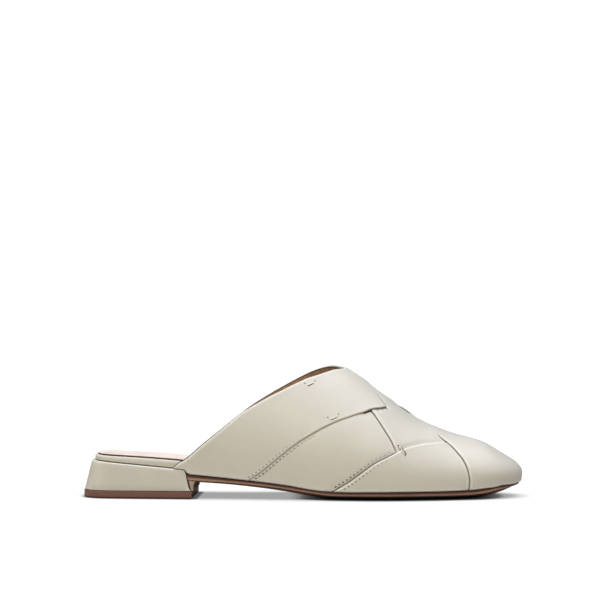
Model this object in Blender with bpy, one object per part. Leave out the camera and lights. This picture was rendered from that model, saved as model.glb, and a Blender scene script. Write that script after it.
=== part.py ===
"""A backless, closed-toe mule for the right foot: woven strap upper, thin leather sole, low covered block heel.

Sizes are in millimetres, and one factor turns them into metres when a mesh is made. The frame: +X points to the
toe, +Z up, -Y is the outer (lateral) side of the foot and +Y the inner (medial) side. The floor is z = 0, and the
origin is under the middle of the shoe.

The upper is drawn on a flat pattern plane first, the way a pattern cutter does. "along" runs in millimetres from
heel to toe, and "across" is 0 on the ridge of the instep and +-GIRTH at the feather line, where the upper meets the
sole. Past the toe pivot the pattern fans out round a point, as the vamp of a real pattern does. A thin-plate spline
through the ribs of the last carries that plane onto the curved last.
"""
import bmesh
import bpy
import numpy as np
from math import cos, hypot, pi, sin
from mathutils.geometry import delaunay_2d_cdt

MM = 0.001
CLEARANCE = 0.3            # between pieces that touch
TO_CENTRE = 1.1            # moves the finished shoe forward, so that the origin is under its middle

# ---- driving dimensions ------------------------------------------------------------------------------------
HEEL_BACK = -125.2         # rearmost point of the seat, where the heel block starts
INSOLE_BACK = -126.5       # the insole's outline ends a little further back
TOE_PIVOT = 105.0          # the ribs of the last fan out from here
TOE_TIP = 126.5            # foremost point of the feather line
TOE_CROWN = 16.0           # how far the top of the toe runs on from the pivot,
TOE_DROP = 9.9             # how far it drops over that length,
TOE_RISE = 0.45            # and how steeply the front rises from the feather line
TOE_Y = 3.2                # the toe turns slightly towards the inner side
TOE_SQUARENESS = 2.4       # superellipse power of the toe's outline
SEAT_SQUARENESS = 3.2      # and of the seat's back
SEAT_PIVOT = -104.0        # the seat's outline starts to close here
GIRTH = 60.0               # half width of the pattern plane
WALL = 1.6                 # upper between its strips
FOOT_CLIMBS = -67.0        # the upper's bottom edge leaves the sole here,
FOOT_CLIMB = 2.2           # is up on the heel block this much further back,
FOOT_FADE = 6.0            # and takes this much of the side up with it
LIFT_HEIGHT = 4.2
LIFT_BACK, LIFT_FRONT = -130.0, -65.4
BLOCK_FRONT = -66.8        # front of the heel block at its foot, and at its top:
BLOCK_SHOULDER = -68.4
BLOCK_CORNER = -69.3       # its top's front corner is bevelled from here
FLAP = 1.3                 # leather of the sole that turns down the front of the heel
SOCK = 1.0
SOCK_INSET = 2.2           # from the insole's edge to the sock's
INSOLE_GAP = 0.7           # between the insole's edge and the upper's inside
FLAP_INSET = 2.0           # the flap stops this far inside the sole's sides
HEEL_SLOPE = 0.09          # the heel block's top falls towards the toe by this much per millimetre,
HEEL_HEIGHT = 16.6         # from this height at its front

# ---- the last: one rib per row -----------------------------------------------------------------------------
# outer and inner: half widths at the feather line; feather: its height; ridge: the top of the rib (sideways place
# and height); rise and crown: how far the rib leaves the feather upwards and the ridge sideways, as fractions of its
# height and half width; bulge: how far the side swells past the feather line.
LAST_COLUMNS = ("x", "outer", "inner", "feather", "ridge_y", "ridge_z", "rise", "crown", "bulge")
LAST_ROWS = (
    (-130, 22.5, 22.0, 19.0, 0.0, 104.0, 0.42, 0.50, 3.0),
    (-104, 24.4, 23.8, 17.0, 0.0, 102.0, 0.42, 0.50, 3.5),
    (-75, 26.6, 25.2, 14.9, 0.5, 99.0, 0.42, 0.50, 4.5),
    (-40, 28.4, 24.0, 11.85, 1.5, 94.0, 0.42, 0.50, 5.5),
    (-10, 32.4, 26.4, 8.45, 2.5, 88.0, 0.44, 0.52, 6.0),
    (10, 36.2, 31.0, 5.6, 3.2, 82.2, 0.46, 0.54, 6.0),
    (25, 38.6, 35.8, 5.3, 3.8, 75.0, 0.48, 0.56, 5.5),
    (40, 39.8, 39.0, 5.4, 4.2, 65.0, 0.50, 0.58, 5.0),
    (55, 38.8, 40.0, 5.4, 4.4, 53.2, 0.52, 0.60, 4.2),
    (70, 36.0, 39.0, 5.4, 4.4, 43.6, 0.54, 0.62, 3.6),
    (87, 31.4, 35.8, 5.5, 4.0, 36.3, 0.56, 0.64, 3.2),
    (105, 25.2, 30.6, 6.3, 3.2, 31.1, 0.56, 0.64, 6.2),
    (130, 15.0, 21.4, 9.1, 3.2, 14.0, 0.56, 0.64, 3.2),
)
# ---- the sole: its underside on the centre line, and how much higher its edge is ---------------------------
SOLE_COLUMNS = ("x", "underside", "edge_lift")
SOLE_ROWS = (
    (-68, 9.4, 0.8),
    (-40, 7.45, 1.3),
    (-14, 4.5, 1.8),
    (4, 1.75, 2.1),
    (19, 0.0, 2.2),
    (52, 0.0, 2.1),
    (84, 0.0, 2.1),
    (98, 0.4, 2.1),
    (112, 1.6, 2.2),
    (130, 5.0, 2.2),
)
# ---- the insole: its top behind and under the foot ---------------------------------------------------------
INSOLE_COLUMNS = ("x", "top")
INSOLE_ROWS = (
    (-125, 25.0),
    (-69, 21.4),
    (-40, 18.1),
    (-14, 14.2),
    (10, 10.9),
    (30, 9.9),
    (80, 9.9),
    (105, 11.0),
    (130, 13.8),
)


def columns(names, rows):
    """A table as one array per named column."""
    return dict(zip(names, np.array(rows, float).T))


LAST = columns(LAST_COLUMNS, LAST_ROWS)
SOLE = columns(SOLE_COLUMNS, SOLE_ROWS)
INSOLE = columns(INSOLE_COLUMNS, INSOLE_ROWS)


def smooth(table, column, x):
    """Value of a column at x, on a smooth curve through the rows that turns level at each peak."""
    xs, ys = table["x"], table[column]
    step = np.diff(xs)
    rise = np.diff(ys) / step
    slope = np.empty_like(ys)
    slope[0], slope[-1] = rise[0], rise[-1]
    same_way = rise[:-1] * rise[1:] > 0
    weight = (step[:-1] + step[1:]) / 2
    slope[1:-1] = np.where(same_way, (rise[:-1] * step[1:] + rise[1:] * step[:-1]) / (2 * weight), 0)
    x = np.clip(np.asarray(x, float), xs[0], xs[-1])
    i = np.clip(np.searchsorted(xs, x, side="right") - 1, 0, len(xs) - 2)
    t = (x - xs[i]) / step[i]
    return (
        ys[i] * (1 + 2 * t) * (1 - t) ** 2
        + ys[i + 1] * t * t * (3 - 2 * t)
        + step[i] * (slope[i] * t * (1 - t) ** 2 - slope[i + 1] * t * t * (1 - t))
    )


def toe_point(turn, side):
    """Feather line past the toe pivot: turn runs from 90 degrees at the pivot to 0 at the tip."""
    forward, aside = abs(cos(turn)) ** (2 / TOE_SQUARENESS), abs(sin(turn)) ** (2 / TOE_SQUARENESS)
    x = TOE_PIVOT + (TOE_TIP - TOE_PIVOT) * forward
    half = smooth(LAST, "inner", x) - TOE_Y if side > 0 else smooth(LAST, "outer", x) + TOE_Y
    return np.array((x, TOE_Y + side * half * aside, smooth(LAST, "feather", x)))


def rib(foot, outward, top, crown, rise, bulge):
    """Points of half a rib from the feather line (foot) up to the ridge (top), as a cubic Bezier in five steps."""
    hold_foot = foot + bulge * outward + np.array((0, 0, rise * (top[2] - foot[2])))
    hold_top = top + crown
    return [
        (1 - t) ** 3 * foot + 3 * t * (1 - t) ** 2 * hold_foot + 3 * t * t * (1 - t) * hold_top + t**3 * top
        for t in (0, 0.2, 0.4, 0.6, 0.8)
    ]


def last_points():
    """Pairs of a place on the pattern plane and a point of the last, which the spline runs through."""
    flat, solid = [], []
    for x in (-118, -96, -75, -57, -40, -25, -10, 3, 15, 25, 35, 45, 55, 65, 76, 87, 96, TOE_PIVOT):
        top = np.array((x, smooth(LAST, "ridge_y", x), smooth(LAST, "ridge_z", x)))
        flat.append((x, 0))
        solid.append(top)
        for side, half in ((-1, "outer"), (1, "inner")):
            outward = np.array((0, side, 0))
            foot = np.array((x, side * smooth(LAST, half, x), smooth(LAST, "feather", x)))
            crown = smooth(LAST, "crown", x) * abs(foot[1] - top[1]) * outward
            points = rib(foot, outward, top, crown, smooth(LAST, "rise", x), smooth(LAST, "bulge", x))
            flat += [(x, side * GIRTH * (1 - t)) for t in (0, 0.2, 0.4, 0.6, 0.8)]
            solid += points
    pole = solid[-11]
    half_width = (smooth(LAST, "outer", TOE_PIVOT) + smooth(LAST, "inner", TOE_PIVOT)) / 2
    aside = smooth(LAST, "crown", TOE_PIVOT) * half_width
    for degrees in (67.5, 45, 22.5, 0, -22.5, -45, -67.5):
        turn = degrees * pi / 180
        side = 1 if degrees >= 0 else -1
        foot = toe_point(abs(turn), side)
        outward = np.array((cos(turn), sin(turn), 0))
        crown = np.array((TOE_CROWN * cos(turn), aside * sin(turn), -TOE_DROP * cos(turn)))
        points = rib(foot, outward, pole, crown, TOE_RISE, smooth(LAST, "bulge", foot[0]))
        flat += [
            (TOE_PIVOT + GIRTH * (1 - t) * cos(turn), GIRTH * (1 - t) * sin(turn)) for t in (0, 0.2, 0.4, 0.6, 0.8)
        ]
        solid += points
    return np.array(flat), np.array(solid)


def spring(squared):
    """Kernel of the thin-plate spline for a squared distance."""
    return squared * np.log(squared + 1e-9)


def fit_last():
    """Weights of the thin-plate spline from the pattern plane to the last."""
    flat, solid = last_points()
    gaps = ((flat[:, None] - flat[None]) ** 2).sum(2)
    ones = np.hstack([np.ones((len(flat), 1)), flat])
    system = np.block([[spring(gaps), ones], [ones.T, np.zeros((3, 3))]])
    return flat, np.linalg.solve(system, np.vstack([solid, np.zeros((3, 3))]))


FLAT, WEIGHTS = fit_last()


def on_last(places):
    """Points of the last for places on the pattern plane, in millimetres."""
    places = np.atleast_2d(np.asarray(places, float))
    gaps = ((places[:, None] - FLAT[None]) ** 2).sum(2)
    return np.hstack([spring(gaps), np.ones((len(places), 1)), places]) @ WEIGHTS


def normals_on_last(places):
    """Directions that point out of the last."""
    places = np.atleast_2d(np.asarray(places, float))
    d = 0.05
    along = on_last(places + (d, 0)) - on_last(places - (d, 0))
    across = on_last(places + (0, d)) - on_last(places - (0, d))
    out = np.cross(along, across)
    return out / np.linalg.norm(out, axis=1)[:, None]


# ---- the pattern's lines: rows of (along, across), across as a fraction of GIRTH, negative on the outer side 
COLLAR = (
    (-76.3, -1), (-76.1, -0.99), (-69, -0.934), (-61, -0.857), (-48, -0.749), (-37, -0.655), (-24, -0.564),
    (-11, -0.474), (1, -0.377), (9.5, -0.303), (17.5, -0.2), (22.5, -0.11), (24.2, 0), (22.8, 0.06),
    (17.5, 0.137), (9.5, 0.247), (1, 0.342), (-11, 0.454), (-24, 0.559), (-36, 0.659), (-47, 0.749),
    (-60, 0.854), (-68, 0.928), (-75.1, 0.99), (-75.3, 1),
)
# rear band over middle band, from the sole up to the rear band's tip
SEAM_REAR = (
    (-32, -1), (-24, -0.94), (-14, -0.86), (-5, -0.785), (5, -0.71), (15, -0.635), (30, -0.52), (39, -0.43),
    (48, -0.285),
)
# middle band to front band, then the front band's edge over the cross band, up to the toe cap
SEAM_FRONT = ((17, -1), (26, -0.93), (38, -0.835), (50, -0.72), (57, -0.645), (66, -0.54), (80.5, -0.385))
# cut end of the rear band along the instep, and the rear edge of the cross band
BAND_END = ((24, -0.02), (29, -0.06), (33, -0.08), (37, -0.115), (42, -0.19), (48, -0.285))
CROSS_REAR = ((39.5, -0.425), (46.5, -0.54), (53.5, -0.68))
# edge of the toe cap, over the instep and down both sides
CAP_EDGE = (
    (95.8, -1), (96.2, -0.9), (95.7, -0.8), (94.3, -0.7), (92, -0.6), (88.5, -0.5), (84, -0.41), (80, -0.33),
    (77.5, -0.26), (79, -0.12), (82, 0.06), (85.5, 0.24), (89, 0.42), (92.5, 0.6), (95.2, 0.8), (96, 1),
)
# the inner side: cross band to middle band, and middle band to front band
INNER_REAR = (
    (-31, 1), (-23, 0.94), (-13, 0.86), (5, 0.71), (20, 0.58), (34, 0.43), (45, 0.25), (52, 0.06), (57, -0.06),
    (62, -0.055), (70, -0.01), (84, 0.06),
)
INNER_FRONT = ((18, 1), (27, 0.93), (39, 0.83), (51, 0.71), (63, 0.57), (75, 0.43), (88, 0.31))

# ---- how far each band stands out of the skin of the last --------------------------------------------------
GROOVE = -0.7
RAMP = 0.45                # width of the step at a band's edge
MIDDLE, CROSS, FRONT, REAR, CAP = -0.3, 0.0, 0.3, 0.4, 0.65


def spline(rows, pitch):
    """Places every pitch millimetres or so along a smooth line through rows of (along, across fraction)."""
    rows = np.array(rows, float) * (1, GIRTH)
    run = np.concatenate([[0], np.cumsum(np.linalg.norm(np.diff(rows, axis=0), axis=1))])
    table = {"x": run, "along": rows[:, 0], "across": rows[:, 1]}
    at = np.linspace(0, run[-1], max(2, round(run[-1] / pitch) + 1))
    return np.stack([smooth(table, "along", at), smooth(table, "across", at)], 1)


def longer(line, start, end):
    """A line run on straight past its two ends."""
    first, last = line[0] - line[1], line[-1] - line[-2]
    return np.vstack([line[0] + first * start / hypot(*first), line, line[-1] + last * end / hypot(*last)])


def beside(line, distance):
    """A parallel line, to the left of this one for a positive distance."""
    way = np.gradient(line, axis=0)
    way /= np.linalg.norm(way, axis=1)[:, None]
    return line + distance * np.stack([-way[:, 1], way[:, 0]], 1)


def distance_to(places, line):
    """Distance from each place to a line."""
    start, way = line[:-1], np.diff(line, axis=0)
    offset = places[:, None] - start[None]
    part = np.clip((offset * way).sum(2) / (way**2).sum(1), 0, 1)
    return np.linalg.norm(offset - part[..., None] * way, axis=2).min(1)


def inside(places, polygon):
    """Which places lie inside a polygon."""
    x, y = places[:, :1], places[:, 1:]
    x0, y0 = polygon.T
    x1, y1 = np.roll(polygon, -1, axis=0).T
    crosses = (y0 > y) != (y1 > y)
    with np.errstate(divide="ignore", invalid="ignore"):
        left_of = x < (x1 - x0) * (y - y0) / (y1 - y0) + x0
    return (crosses & left_of).sum(1) % 2 == 1


def heel_top(x):
    """Height of the heel block's sloping top."""
    return HEEL_HEIGHT - HEEL_SLOPE * (x + 69)


def upper_foot(x):
    """Height of the upper's bottom edge: on the sole, then up over the corner of the heel block."""
    on_sole, on_heel = smooth(LAST, "feather", x), heel_top(x) + CLEARANCE
    share = np.clip((FOOT_CLIMBS - x) / FOOT_CLIMB, 0, 1)
    return on_sole * (1 - share) + on_heel * share


def foot_lift(points):
    """How much higher the upper sits than the last says: its foot's climb, fading out up the side."""
    feather = smooth(LAST, "feather", points[:, 0])
    t = np.clip((points[:, 2] - feather) / FOOT_FADE, 0, 1)
    return (upper_foot(points[:, 0]) - feather) * (1 - t * t * (3 - 2 * t))


def upper_pattern():
    """Flat pattern of the upper: its places, its triangles, and the height of the skin at each place."""
    pitch = 5.0
    fan = [(TOE_PIVOT + GIRTH * sin(t), -GIRTH * cos(t)) for t in np.linspace(0, pi, round(pi * GIRTH / pitch))]
    collar = spline(COLLAR[1:-1], pitch)[::-1]
    outer = [(x, -GIRTH) for x in (COLLAR[0][0], -69.2, -67, *np.linspace(-62, TOE_PIVOT - pitch, 33))]
    inner = [(x, GIRTH) for x in (*np.linspace(TOE_PIVOT - pitch, -62, 33), -67, -69.2, COLLAR[-1][0])]
    outline = np.vstack([outer, fan, inner, collar])

    past = 4.0
    cap = longer(spline(CAP_EDGE, pitch), past, past)
    rear = longer(spline(SEAM_REAR, pitch), past, 0.01)
    front = longer(spline(SEAM_FRONT, pitch), past, past)
    inner_rear = longer(spline(INNER_REAR, pitch), past, past)
    inner_front = longer(spline(INNER_FRONT, pitch), past, past)
    band_end = longer(spline(BAND_END, pitch), past, 0.01)
    cross_rear = spline(CROSS_REAR, pitch)
    edges = [cap, rear, front, inner_rear, inner_front, band_end, cross_rear]

    wide = 1.3 * GIRTH
    bands = (
        (CROSS, np.array([(-200, -wide), (300, -wide), (300, wide), (-200, wide)])),
        (MIDDLE, np.vstack([inner_rear, [(90, 0.3 * GIRTH)], inner_front[::-1], [(-40, wide)]])),
        (CROSS, np.vstack([inner_front, [(100, 0.4 * GIRTH), (110, wide)]])),
        (MIDDLE, np.vstack([rear[:-3], cross_rear, front[:-4][::-1], [(-40, -wide)]])),
        (FRONT, np.vstack([front, [(100, -0.4 * GIRTH), (110, -wide)]])),
        (REAR, np.vstack([rear, band_end[::-1], [(-200, 0), (-200, -wide)]])),
        (CAP, np.vstack([cap, [(300, wide), (300, -wide)]])),
    )

    row = pitch * 3**0.5 / 2
    grid = np.array([
        (x + pitch / 2 * (j % 2), j * row)
        for j in range(-int(GIRTH / row), int(GIRTH / row) + 1)
        for x in np.arange(-74, TOE_PIVOT + GIRTH, pitch)
    ])
    clear = inside(grid, outline) & (distance_to(grid, np.vstack([outline, outline[:1]])) > 2.2)
    for line in edges:
        clear &= distance_to(grid, line) > 2.0

    places = [tuple(p) for p in outline] + [tuple(p) for p in grid[clear]]
    links = [(i, (i + 1) % len(outline)) for i in range(len(outline))]
    for line in edges:
        for side in (-RAMP, 0, RAMP):
            first = len(places)
            places += [tuple(p) for p in beside(line, side)]
            links += [(i, i + 1) for i in range(first, len(places) - 1)]
    flat, _, faces, *_ = delaunay_2d_cdt(places, links, [], 0, 0.02)
    flat = np.array([tuple(p) for p in flat])
    faces = np.array([tuple(f) for f in faces])
    faces = faces[inside(flat[faces].mean(1), outline)]
    used, faces = np.unique(faces, return_inverse=True)
    flat, faces = flat[used], faces.reshape(-1, 3)

    skin = np.zeros(len(flat))
    for level, polygon in bands:
        skin[inside(flat, polygon)] = level
    to_edge = np.min([distance_to(flat, line) for line in edges], axis=0)
    skin = GROOVE + (skin - GROOVE) * np.clip(to_edge / RAMP, 0, 1)
    return flat, faces, skin


# ---- building ----------------------------------------------------------------------------------------------
def finish(name, mesh, colour, roughness):
    """An object from a bmesh in millimetres, with its faces pointing out and its own material."""
    bmesh.ops.recalc_face_normals(mesh, faces=mesh.faces)
    bmesh.ops.translate(mesh, vec=(TO_CENTRE, 0, 0), verts=mesh.verts)
    bmesh.ops.scale(mesh, vec=(MM, MM, MM), verts=mesh.verts)
    data = bpy.data.meshes.new(name)
    mesh.to_mesh(data)
    mesh.free()
    data.shade_smooth()
    data.set_sharp_from_angle(angle=0.6)
    material = bpy.data.materials.new(name)
    material.use_nodes = True
    shader = material.node_tree.nodes["Principled BSDF"]
    shader.inputs["Base Color"].default_value = (*colour, 1)
    shader.inputs["Roughness"].default_value = roughness
    data.materials.append(material)
    thing = bpy.data.objects.new(name, data)
    bpy.context.scene.collection.objects.link(thing)
    return thing


CREAM, TAN, BROWN = (0.62, 0.58, 0.50), (0.80, 0.62, 0.45), (0.16, 0.07, 0.055)


def build_upper():
    """The upper: one wall, open at the collar and underneath."""
    flat, faces, skin = upper_pattern()
    base, out = on_last(flat), normals_on_last(flat)
    base[:, 2] += foot_lift(base)
    outside, within = base + out * skin[:, None], base + out * (GROOVE - WALL)

    links = np.sort(np.vstack([faces[:, (0, 1)], faces[:, (1, 2)], faces[:, (2, 0)]]), axis=1)
    pairs, times = np.unique(links, axis=0, return_counts=True)
    rim = pairs[times == 1]
    radius = np.hypot(flat[:, 0] - TOE_PIVOT, flat[:, 1])
    at_foot = np.where(flat[:, 0] > TOE_PIVOT, radius, abs(flat[:, 1])) > 0.998 * GIRTH
    for layer in (outside, within):
        layer[at_foot, 2] = upper_foot(layer[at_foot, 0])

    mesh = bmesh.new()
    top = [mesh.verts.new(p) for p in outside]
    bottom = [mesh.verts.new(p) for p in within]
    for a, b, c in faces:
        mesh.faces.new((top[a], top[b], top[c]))
        mesh.faces.new((bottom[c], bottom[b], bottom[a]))
    for a, b in rim:
        mesh.faces.new((top[a], top[b], bottom[b]))
        mesh.faces.new((top[a], bottom[b], bottom[a]))
    return finish("upper", mesh, CREAM, 0.45)


def plan(inset, start=None, back=HEEL_BACK):
    """The shoe's outline from above, drawn in by inset: its outer and its inner side, each from back to toe tip."""
    seat = [] if start is not None else [
        (cos(a) ** (2 / SEAT_SQUARENESS), sin(a) ** (2 / SEAT_SQUARENESS)) for a in np.linspace(0, pi / 2, 11)[:-1]
    ]
    if start is None:
        middle = np.sort([*np.linspace(SEAT_PIVOT, TOE_PIVOT, 30), BLOCK_CORNER, BLOCK_SHOULDER])
    else:
        middle = np.linspace(start, TOE_PIVOT, 26)
    both = []
    for side, half in ((-1, "outer"), (1, "inner")):
        rows = []
        for forward, aside in seat:
            x = SEAT_PIVOT + (back - SEAT_PIVOT) * forward
            rows.append((x, side * aside * smooth(LAST, half, x)))
        rows += [(x, side * smooth(LAST, half, x)) for x in middle]
        rows += [tuple(toe_point(turn, side)[:2]) for turn in np.linspace(pi / 2, 0, 13)[1:]]
        line = beside(np.array(rows), -side * inset)
        line[-1] = (TOE_TIP - inset, TOE_Y)
        if start is None:
            line[0] = (back + inset, 0)
        else:
            line[0, 0] = start
        both.append(line)
    return both


def heel_plan(back, front, spread):
    """The seat's outline from above, stretched to run from back to front and made wider or narrower."""
    both = []
    for side, half in ((-1, "outer"), (1, "inner")):
        rows = []
        for a in np.linspace(0, pi / 2, 11):
            x = SEAT_PIVOT + (HEEL_BACK - SEAT_PIVOT) * cos(a) ** (2 / SEAT_SQUARENESS)
            rows.append((x, side * spread * sin(a) ** (2 / SEAT_SQUARENESS) * smooth(LAST, half, x)))
        rows += [(x, side * spread * smooth(LAST, half, x)) for x in (-92, -80, BLOCK_CORNER, BLOCK_SHOULDER)]
        line = np.array(rows)
        line[:, 0] = back + (line[:, 0] - HEEL_BACK) * (front - back) / (BLOCK_SHOULDER - HEEL_BACK)
        both.append(line)
    return both


def stack(rings):
    """A closed solid through rings from the bottom up; a ring is its outer side, inner side and height at each x."""
    mesh = bmesh.new()
    layers = []
    for outer, inner, height in rings:
        layers.append([[mesh.verts.new((x, y, float(height(x)))) for x, y in side] for side in (outer, inner)])
    for (low_out, low_in), (high_out, high_in) in zip(layers, layers[1:]):
        low, high = low_out + low_in[::-1], high_out + high_in[::-1]
        for i in range(len(low)):
            j = (i + 1) % len(low)
            mesh.faces.new((low[i], low[j], high[j], high[i]))
    for outer, inner in (layers[0], layers[-1]):
        for i in range(len(outer) - 1):
            mesh.faces.new((outer[i], outer[i + 1], inner[i + 1], inner[i]))
    bmesh.ops.remove_doubles(mesh, verts=mesh.verts, dist=0.001)
    bmesh.ops.triangulate(mesh, faces=mesh.faces)
    return mesh


def sole_top(x):
    return smooth(LAST, "feather", x) - CLEARANCE


def sole_bottom(x):
    return smooth(SOLE, "underside", x)


def sole_edge(x):
    return sole_bottom(x) + smooth(SOLE, "edge_lift", x)


def breast(z):
    """Where the sole starts, just in front of the heel block's sloping front."""
    foot = LIFT_HEIGHT + CLEARANCE
    share = np.clip((z - foot) / (13.6 - foot), 0, 1)
    return BLOCK_FRONT + share * (BLOCK_SHOULDER - BLOCK_FRONT) + 1.3 * CLEARANCE


def build_outsole():
    """The sole: bevelled edge, arch, toe spring, and the flap down the heel's front."""
    rings = []
    # from the tread up: how far a ring is drawn in, and its share of the height below and above the edge's corner
    for inset, below, above in (
        (11, 0, 0), (6, 0.45, 0), (2.6, 0.85, 0), (1.4, 1, 0), (0.6, 1, 0.3), (0.5, 1, 0.65), (0.9, 1, 1),
    ):
        def height(x, below=below, above=above):
            low, corner, high = sole_bottom(x), sole_edge(x), sole_top(x)
            return low + below * (corner - low) + above * (high - corner)
        rings.append((*plan(inset, breast(height(BLOCK_SHOULDER))), height))
    sole = finish("outsole", stack(rings), BROWN, 0.5)

    foot, back = LIFT_HEIGHT + CLEARANCE, BLOCK_FRONT + CLEARANCE
    front = back + FLAP
    # from inside the sole, down the heel's front, forward by the leather's thickness and up again round the bend
    profile = (
        (breast(12.2) + 0.1, 12.2), (back, foot), (front, foot), (front - 0.2, 7.6), (front + 0.6, 9.2),
        (front + 2.6, 10.6),
    )
    mesh = bmesh.new()
    sides = []
    for y in (FLAP_INSET - smooth(LAST, "outer", back), smooth(LAST, "inner", back) - FLAP_INSET):
        sides.append([mesh.verts.new((x, y, z)) for x, z in profile])
        mesh.faces.new(sides[-1])
    for i in range(len(profile)):
        j = (i + 1) % len(profile)
        mesh.faces.new((sides[0][i], sides[0][j], sides[1][j], sides[1][i]))
    bmesh.ops.triangulate(mesh, faces=mesh.faces)
    flap = finish("flap", mesh, BROWN, 0.5)
    flap.hide_render, flap.display_type = True, "WIRE"
    join = sole.modifiers.new("flap", "BOOLEAN")
    join.operation, join.object, join.solver = "UNION", flap, "EXACT"
    join.use_self = True
    return sole


def build_insole():
    """The insole with its wrapped edge, and the thin cover on it."""
    def bottom(x):
        return (heel_top(x) if x < (BLOCK_CORNER + BLOCK_SHOULDER) / 2 else sole_top(x)) + CLEARANCE

    def top(x):
        return smooth(INSOLE, "top", x)

    def outline(inset):
        return plan(WALL - GROOVE + INSOLE_GAP + inset, None, INSOLE_BACK)

    finish("insole_board", stack([
        (*outline(0.3), bottom),
        (*outline(0), lambda x: bottom(x) + 0.5),
        (*outline(0), lambda x: top(x) - 0.6),
        (*outline(0.5), top),
    ]), CREAM, 0.45)
    finish("sock", stack([
        (*outline(SOCK_INSET), lambda x: top(x) + CLEARANCE),
        (*outline(SOCK_INSET + 0.1), lambda x: top(x) + CLEARANCE + SOCK),
    ]), TAN, 0.7)


def build_heel():
    """The covered block and the top lift under it."""
    def block_top(x):
        drop = (x - BLOCK_CORNER) / (BLOCK_SHOULDER - BLOCK_CORNER)
        return heel_top(x) if x <= BLOCK_CORNER else heel_top(BLOCK_CORNER) - 2.6 * drop

    def level(z):
        return lambda x: z

    foot = LIFT_HEIGHT + CLEARANCE
    finish("heel_block", stack([
        (*heel_plan(LIFT_BACK + 0.8, BLOCK_FRONT, 1.035), level(foot)),
        (*heel_plan(LIFT_BACK + 0.4, BLOCK_FRONT, 1.045), level(foot + 0.5)),
        (*heel_plan(HEEL_BACK - 0.2, BLOCK_SHOULDER, 1.0), lambda x: block_top(x) - 0.6),
        (*heel_plan(HEEL_BACK + 0.4, BLOCK_SHOULDER, 0.98), block_top),
    ]), CREAM, 0.45)
    finish("top_lift", stack([
        (*heel_plan(LIFT_BACK + 0.3, LIFT_FRONT, 1.045), level(0.0)),
        (*heel_plan(LIFT_BACK, LIFT_FRONT, 1.055), level(0.4)),
        (*heel_plan(LIFT_BACK + 0.3, LIFT_FRONT, 1.05), level(LIFT_HEIGHT)),
    ]), BROWN, 0.45)


def main():
    for old in list(bpy.data.objects):
        bpy.data.objects.remove(old)
    build_upper()
    build_outsole()
    build_insole()
    build_heel()


main()
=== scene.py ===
# %% [markdown]
# # Dressing a woven mule
#
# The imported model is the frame: it says where the sole, the heel and the upper are. This notebook gives
# that frame its leather. It redraws the last (the foot-shaped form that a shoe is made on) as a smooth
# surface, cuts leather bands on a flat pattern as a pattern cutter would, and lays them on the last in the
# order in which they cross.

# %% Load the frame
from math import cos, hypot, pi, radians, sin

import bmesh
import bpy
import numpy as np
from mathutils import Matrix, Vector
from mathutils.geometry import delaunay_2d_cdt


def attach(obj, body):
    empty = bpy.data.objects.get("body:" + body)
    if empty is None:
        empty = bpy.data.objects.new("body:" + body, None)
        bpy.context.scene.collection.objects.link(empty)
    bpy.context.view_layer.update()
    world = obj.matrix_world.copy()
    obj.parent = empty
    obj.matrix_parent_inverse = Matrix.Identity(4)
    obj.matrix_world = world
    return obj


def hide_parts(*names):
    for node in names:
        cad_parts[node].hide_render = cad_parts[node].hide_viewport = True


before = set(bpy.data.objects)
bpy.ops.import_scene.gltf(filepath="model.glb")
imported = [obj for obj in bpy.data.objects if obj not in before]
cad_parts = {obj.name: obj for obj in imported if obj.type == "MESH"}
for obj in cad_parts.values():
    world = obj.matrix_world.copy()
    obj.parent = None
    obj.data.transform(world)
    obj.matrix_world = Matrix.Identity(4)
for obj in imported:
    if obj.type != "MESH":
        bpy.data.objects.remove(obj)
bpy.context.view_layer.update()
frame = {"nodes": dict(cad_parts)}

MM = 0.001
print("frame nodes:", ", ".join(frame["nodes"]))

# %% [markdown]
# ## The camera
#
# The shoe is seen from its outer side by a long lens that looks level, from a little above the shoe's own
# height. A long lens keeps the toe and the heel in true proportion. The camera could be aimed down at the
# shoe, but a level one keeps upright edges upright.

# %% Camera
DISTANCE = 1.42             # from the shoe's middle line to the lens
EYE_HEIGHT = 0.1153
TURN = radians(2.0)         # the camera stands slightly towards the toe
AIM_X = -0.0020
FOCAL = 144.4               # mm, on a sensor 36 mm wide

lens = bpy.data.cameras.new("camera")
lens.lens, lens.sensor_width, lens.clip_end = FOCAL, 36.0, 50.0
camera = bpy.data.objects.new("camera", lens)
camera.location = (AIM_X + DISTANCE * sin(TURN), -DISTANCE * cos(TURN), EYE_HEIGHT)
camera.rotation_euler = (pi / 2, 0, TURN)
scene = bpy.context.scene
scene.collection.objects.link(camera)
scene.camera = camera
print("camera", DISTANCE, "m away, at a height of", EYE_HEIGHT, "m")

# %% [markdown]
# ## Floor and light
#
# The shoe stands on white paper under two soft suns. A very wide, warm one from the heel's side lights
# everything and lets the light fall off gently down the walls. A narrower, bluish one straight above only
# reaches what faces up, so that the top of the shoe looks cooler than its sides. Lamps close by would do
# too, but suns light the whole table evenly.

# %% Helpers for node trees
def node(tree, kind, inputs=(), **settings):
    """A node with settings, and inputs given as (name, number or colour or another node's output)."""
    made = tree.nodes.new(kind)
    for name, value in settings.items():
        setattr(made, name, value)
    for name, value in inputs:
        socket = made.inputs[name]
        if isinstance(value, bpy.types.NodeSocket):
            tree.links.new(value, socket)
        else:
            socket.default_value = value
    return made


def maths(tree, operation, a, b=0.0, clamp=False):
    """Result of one Math node."""
    return node(tree, "ShaderNodeMath", [(0, a), (1, b)], operation=operation, use_clamp=clamp).outputs[0]


def blend(tree, share, a, b):
    """Colour a mixed with colour b by share."""
    return node(tree, "ShaderNodeMix", [(0, share), (6, a), (7, b)], data_type="RGBA").outputs[2]

# %% Light
scene.view_settings.view_transform = "Standard"
scene.view_settings.look = "None"

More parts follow.
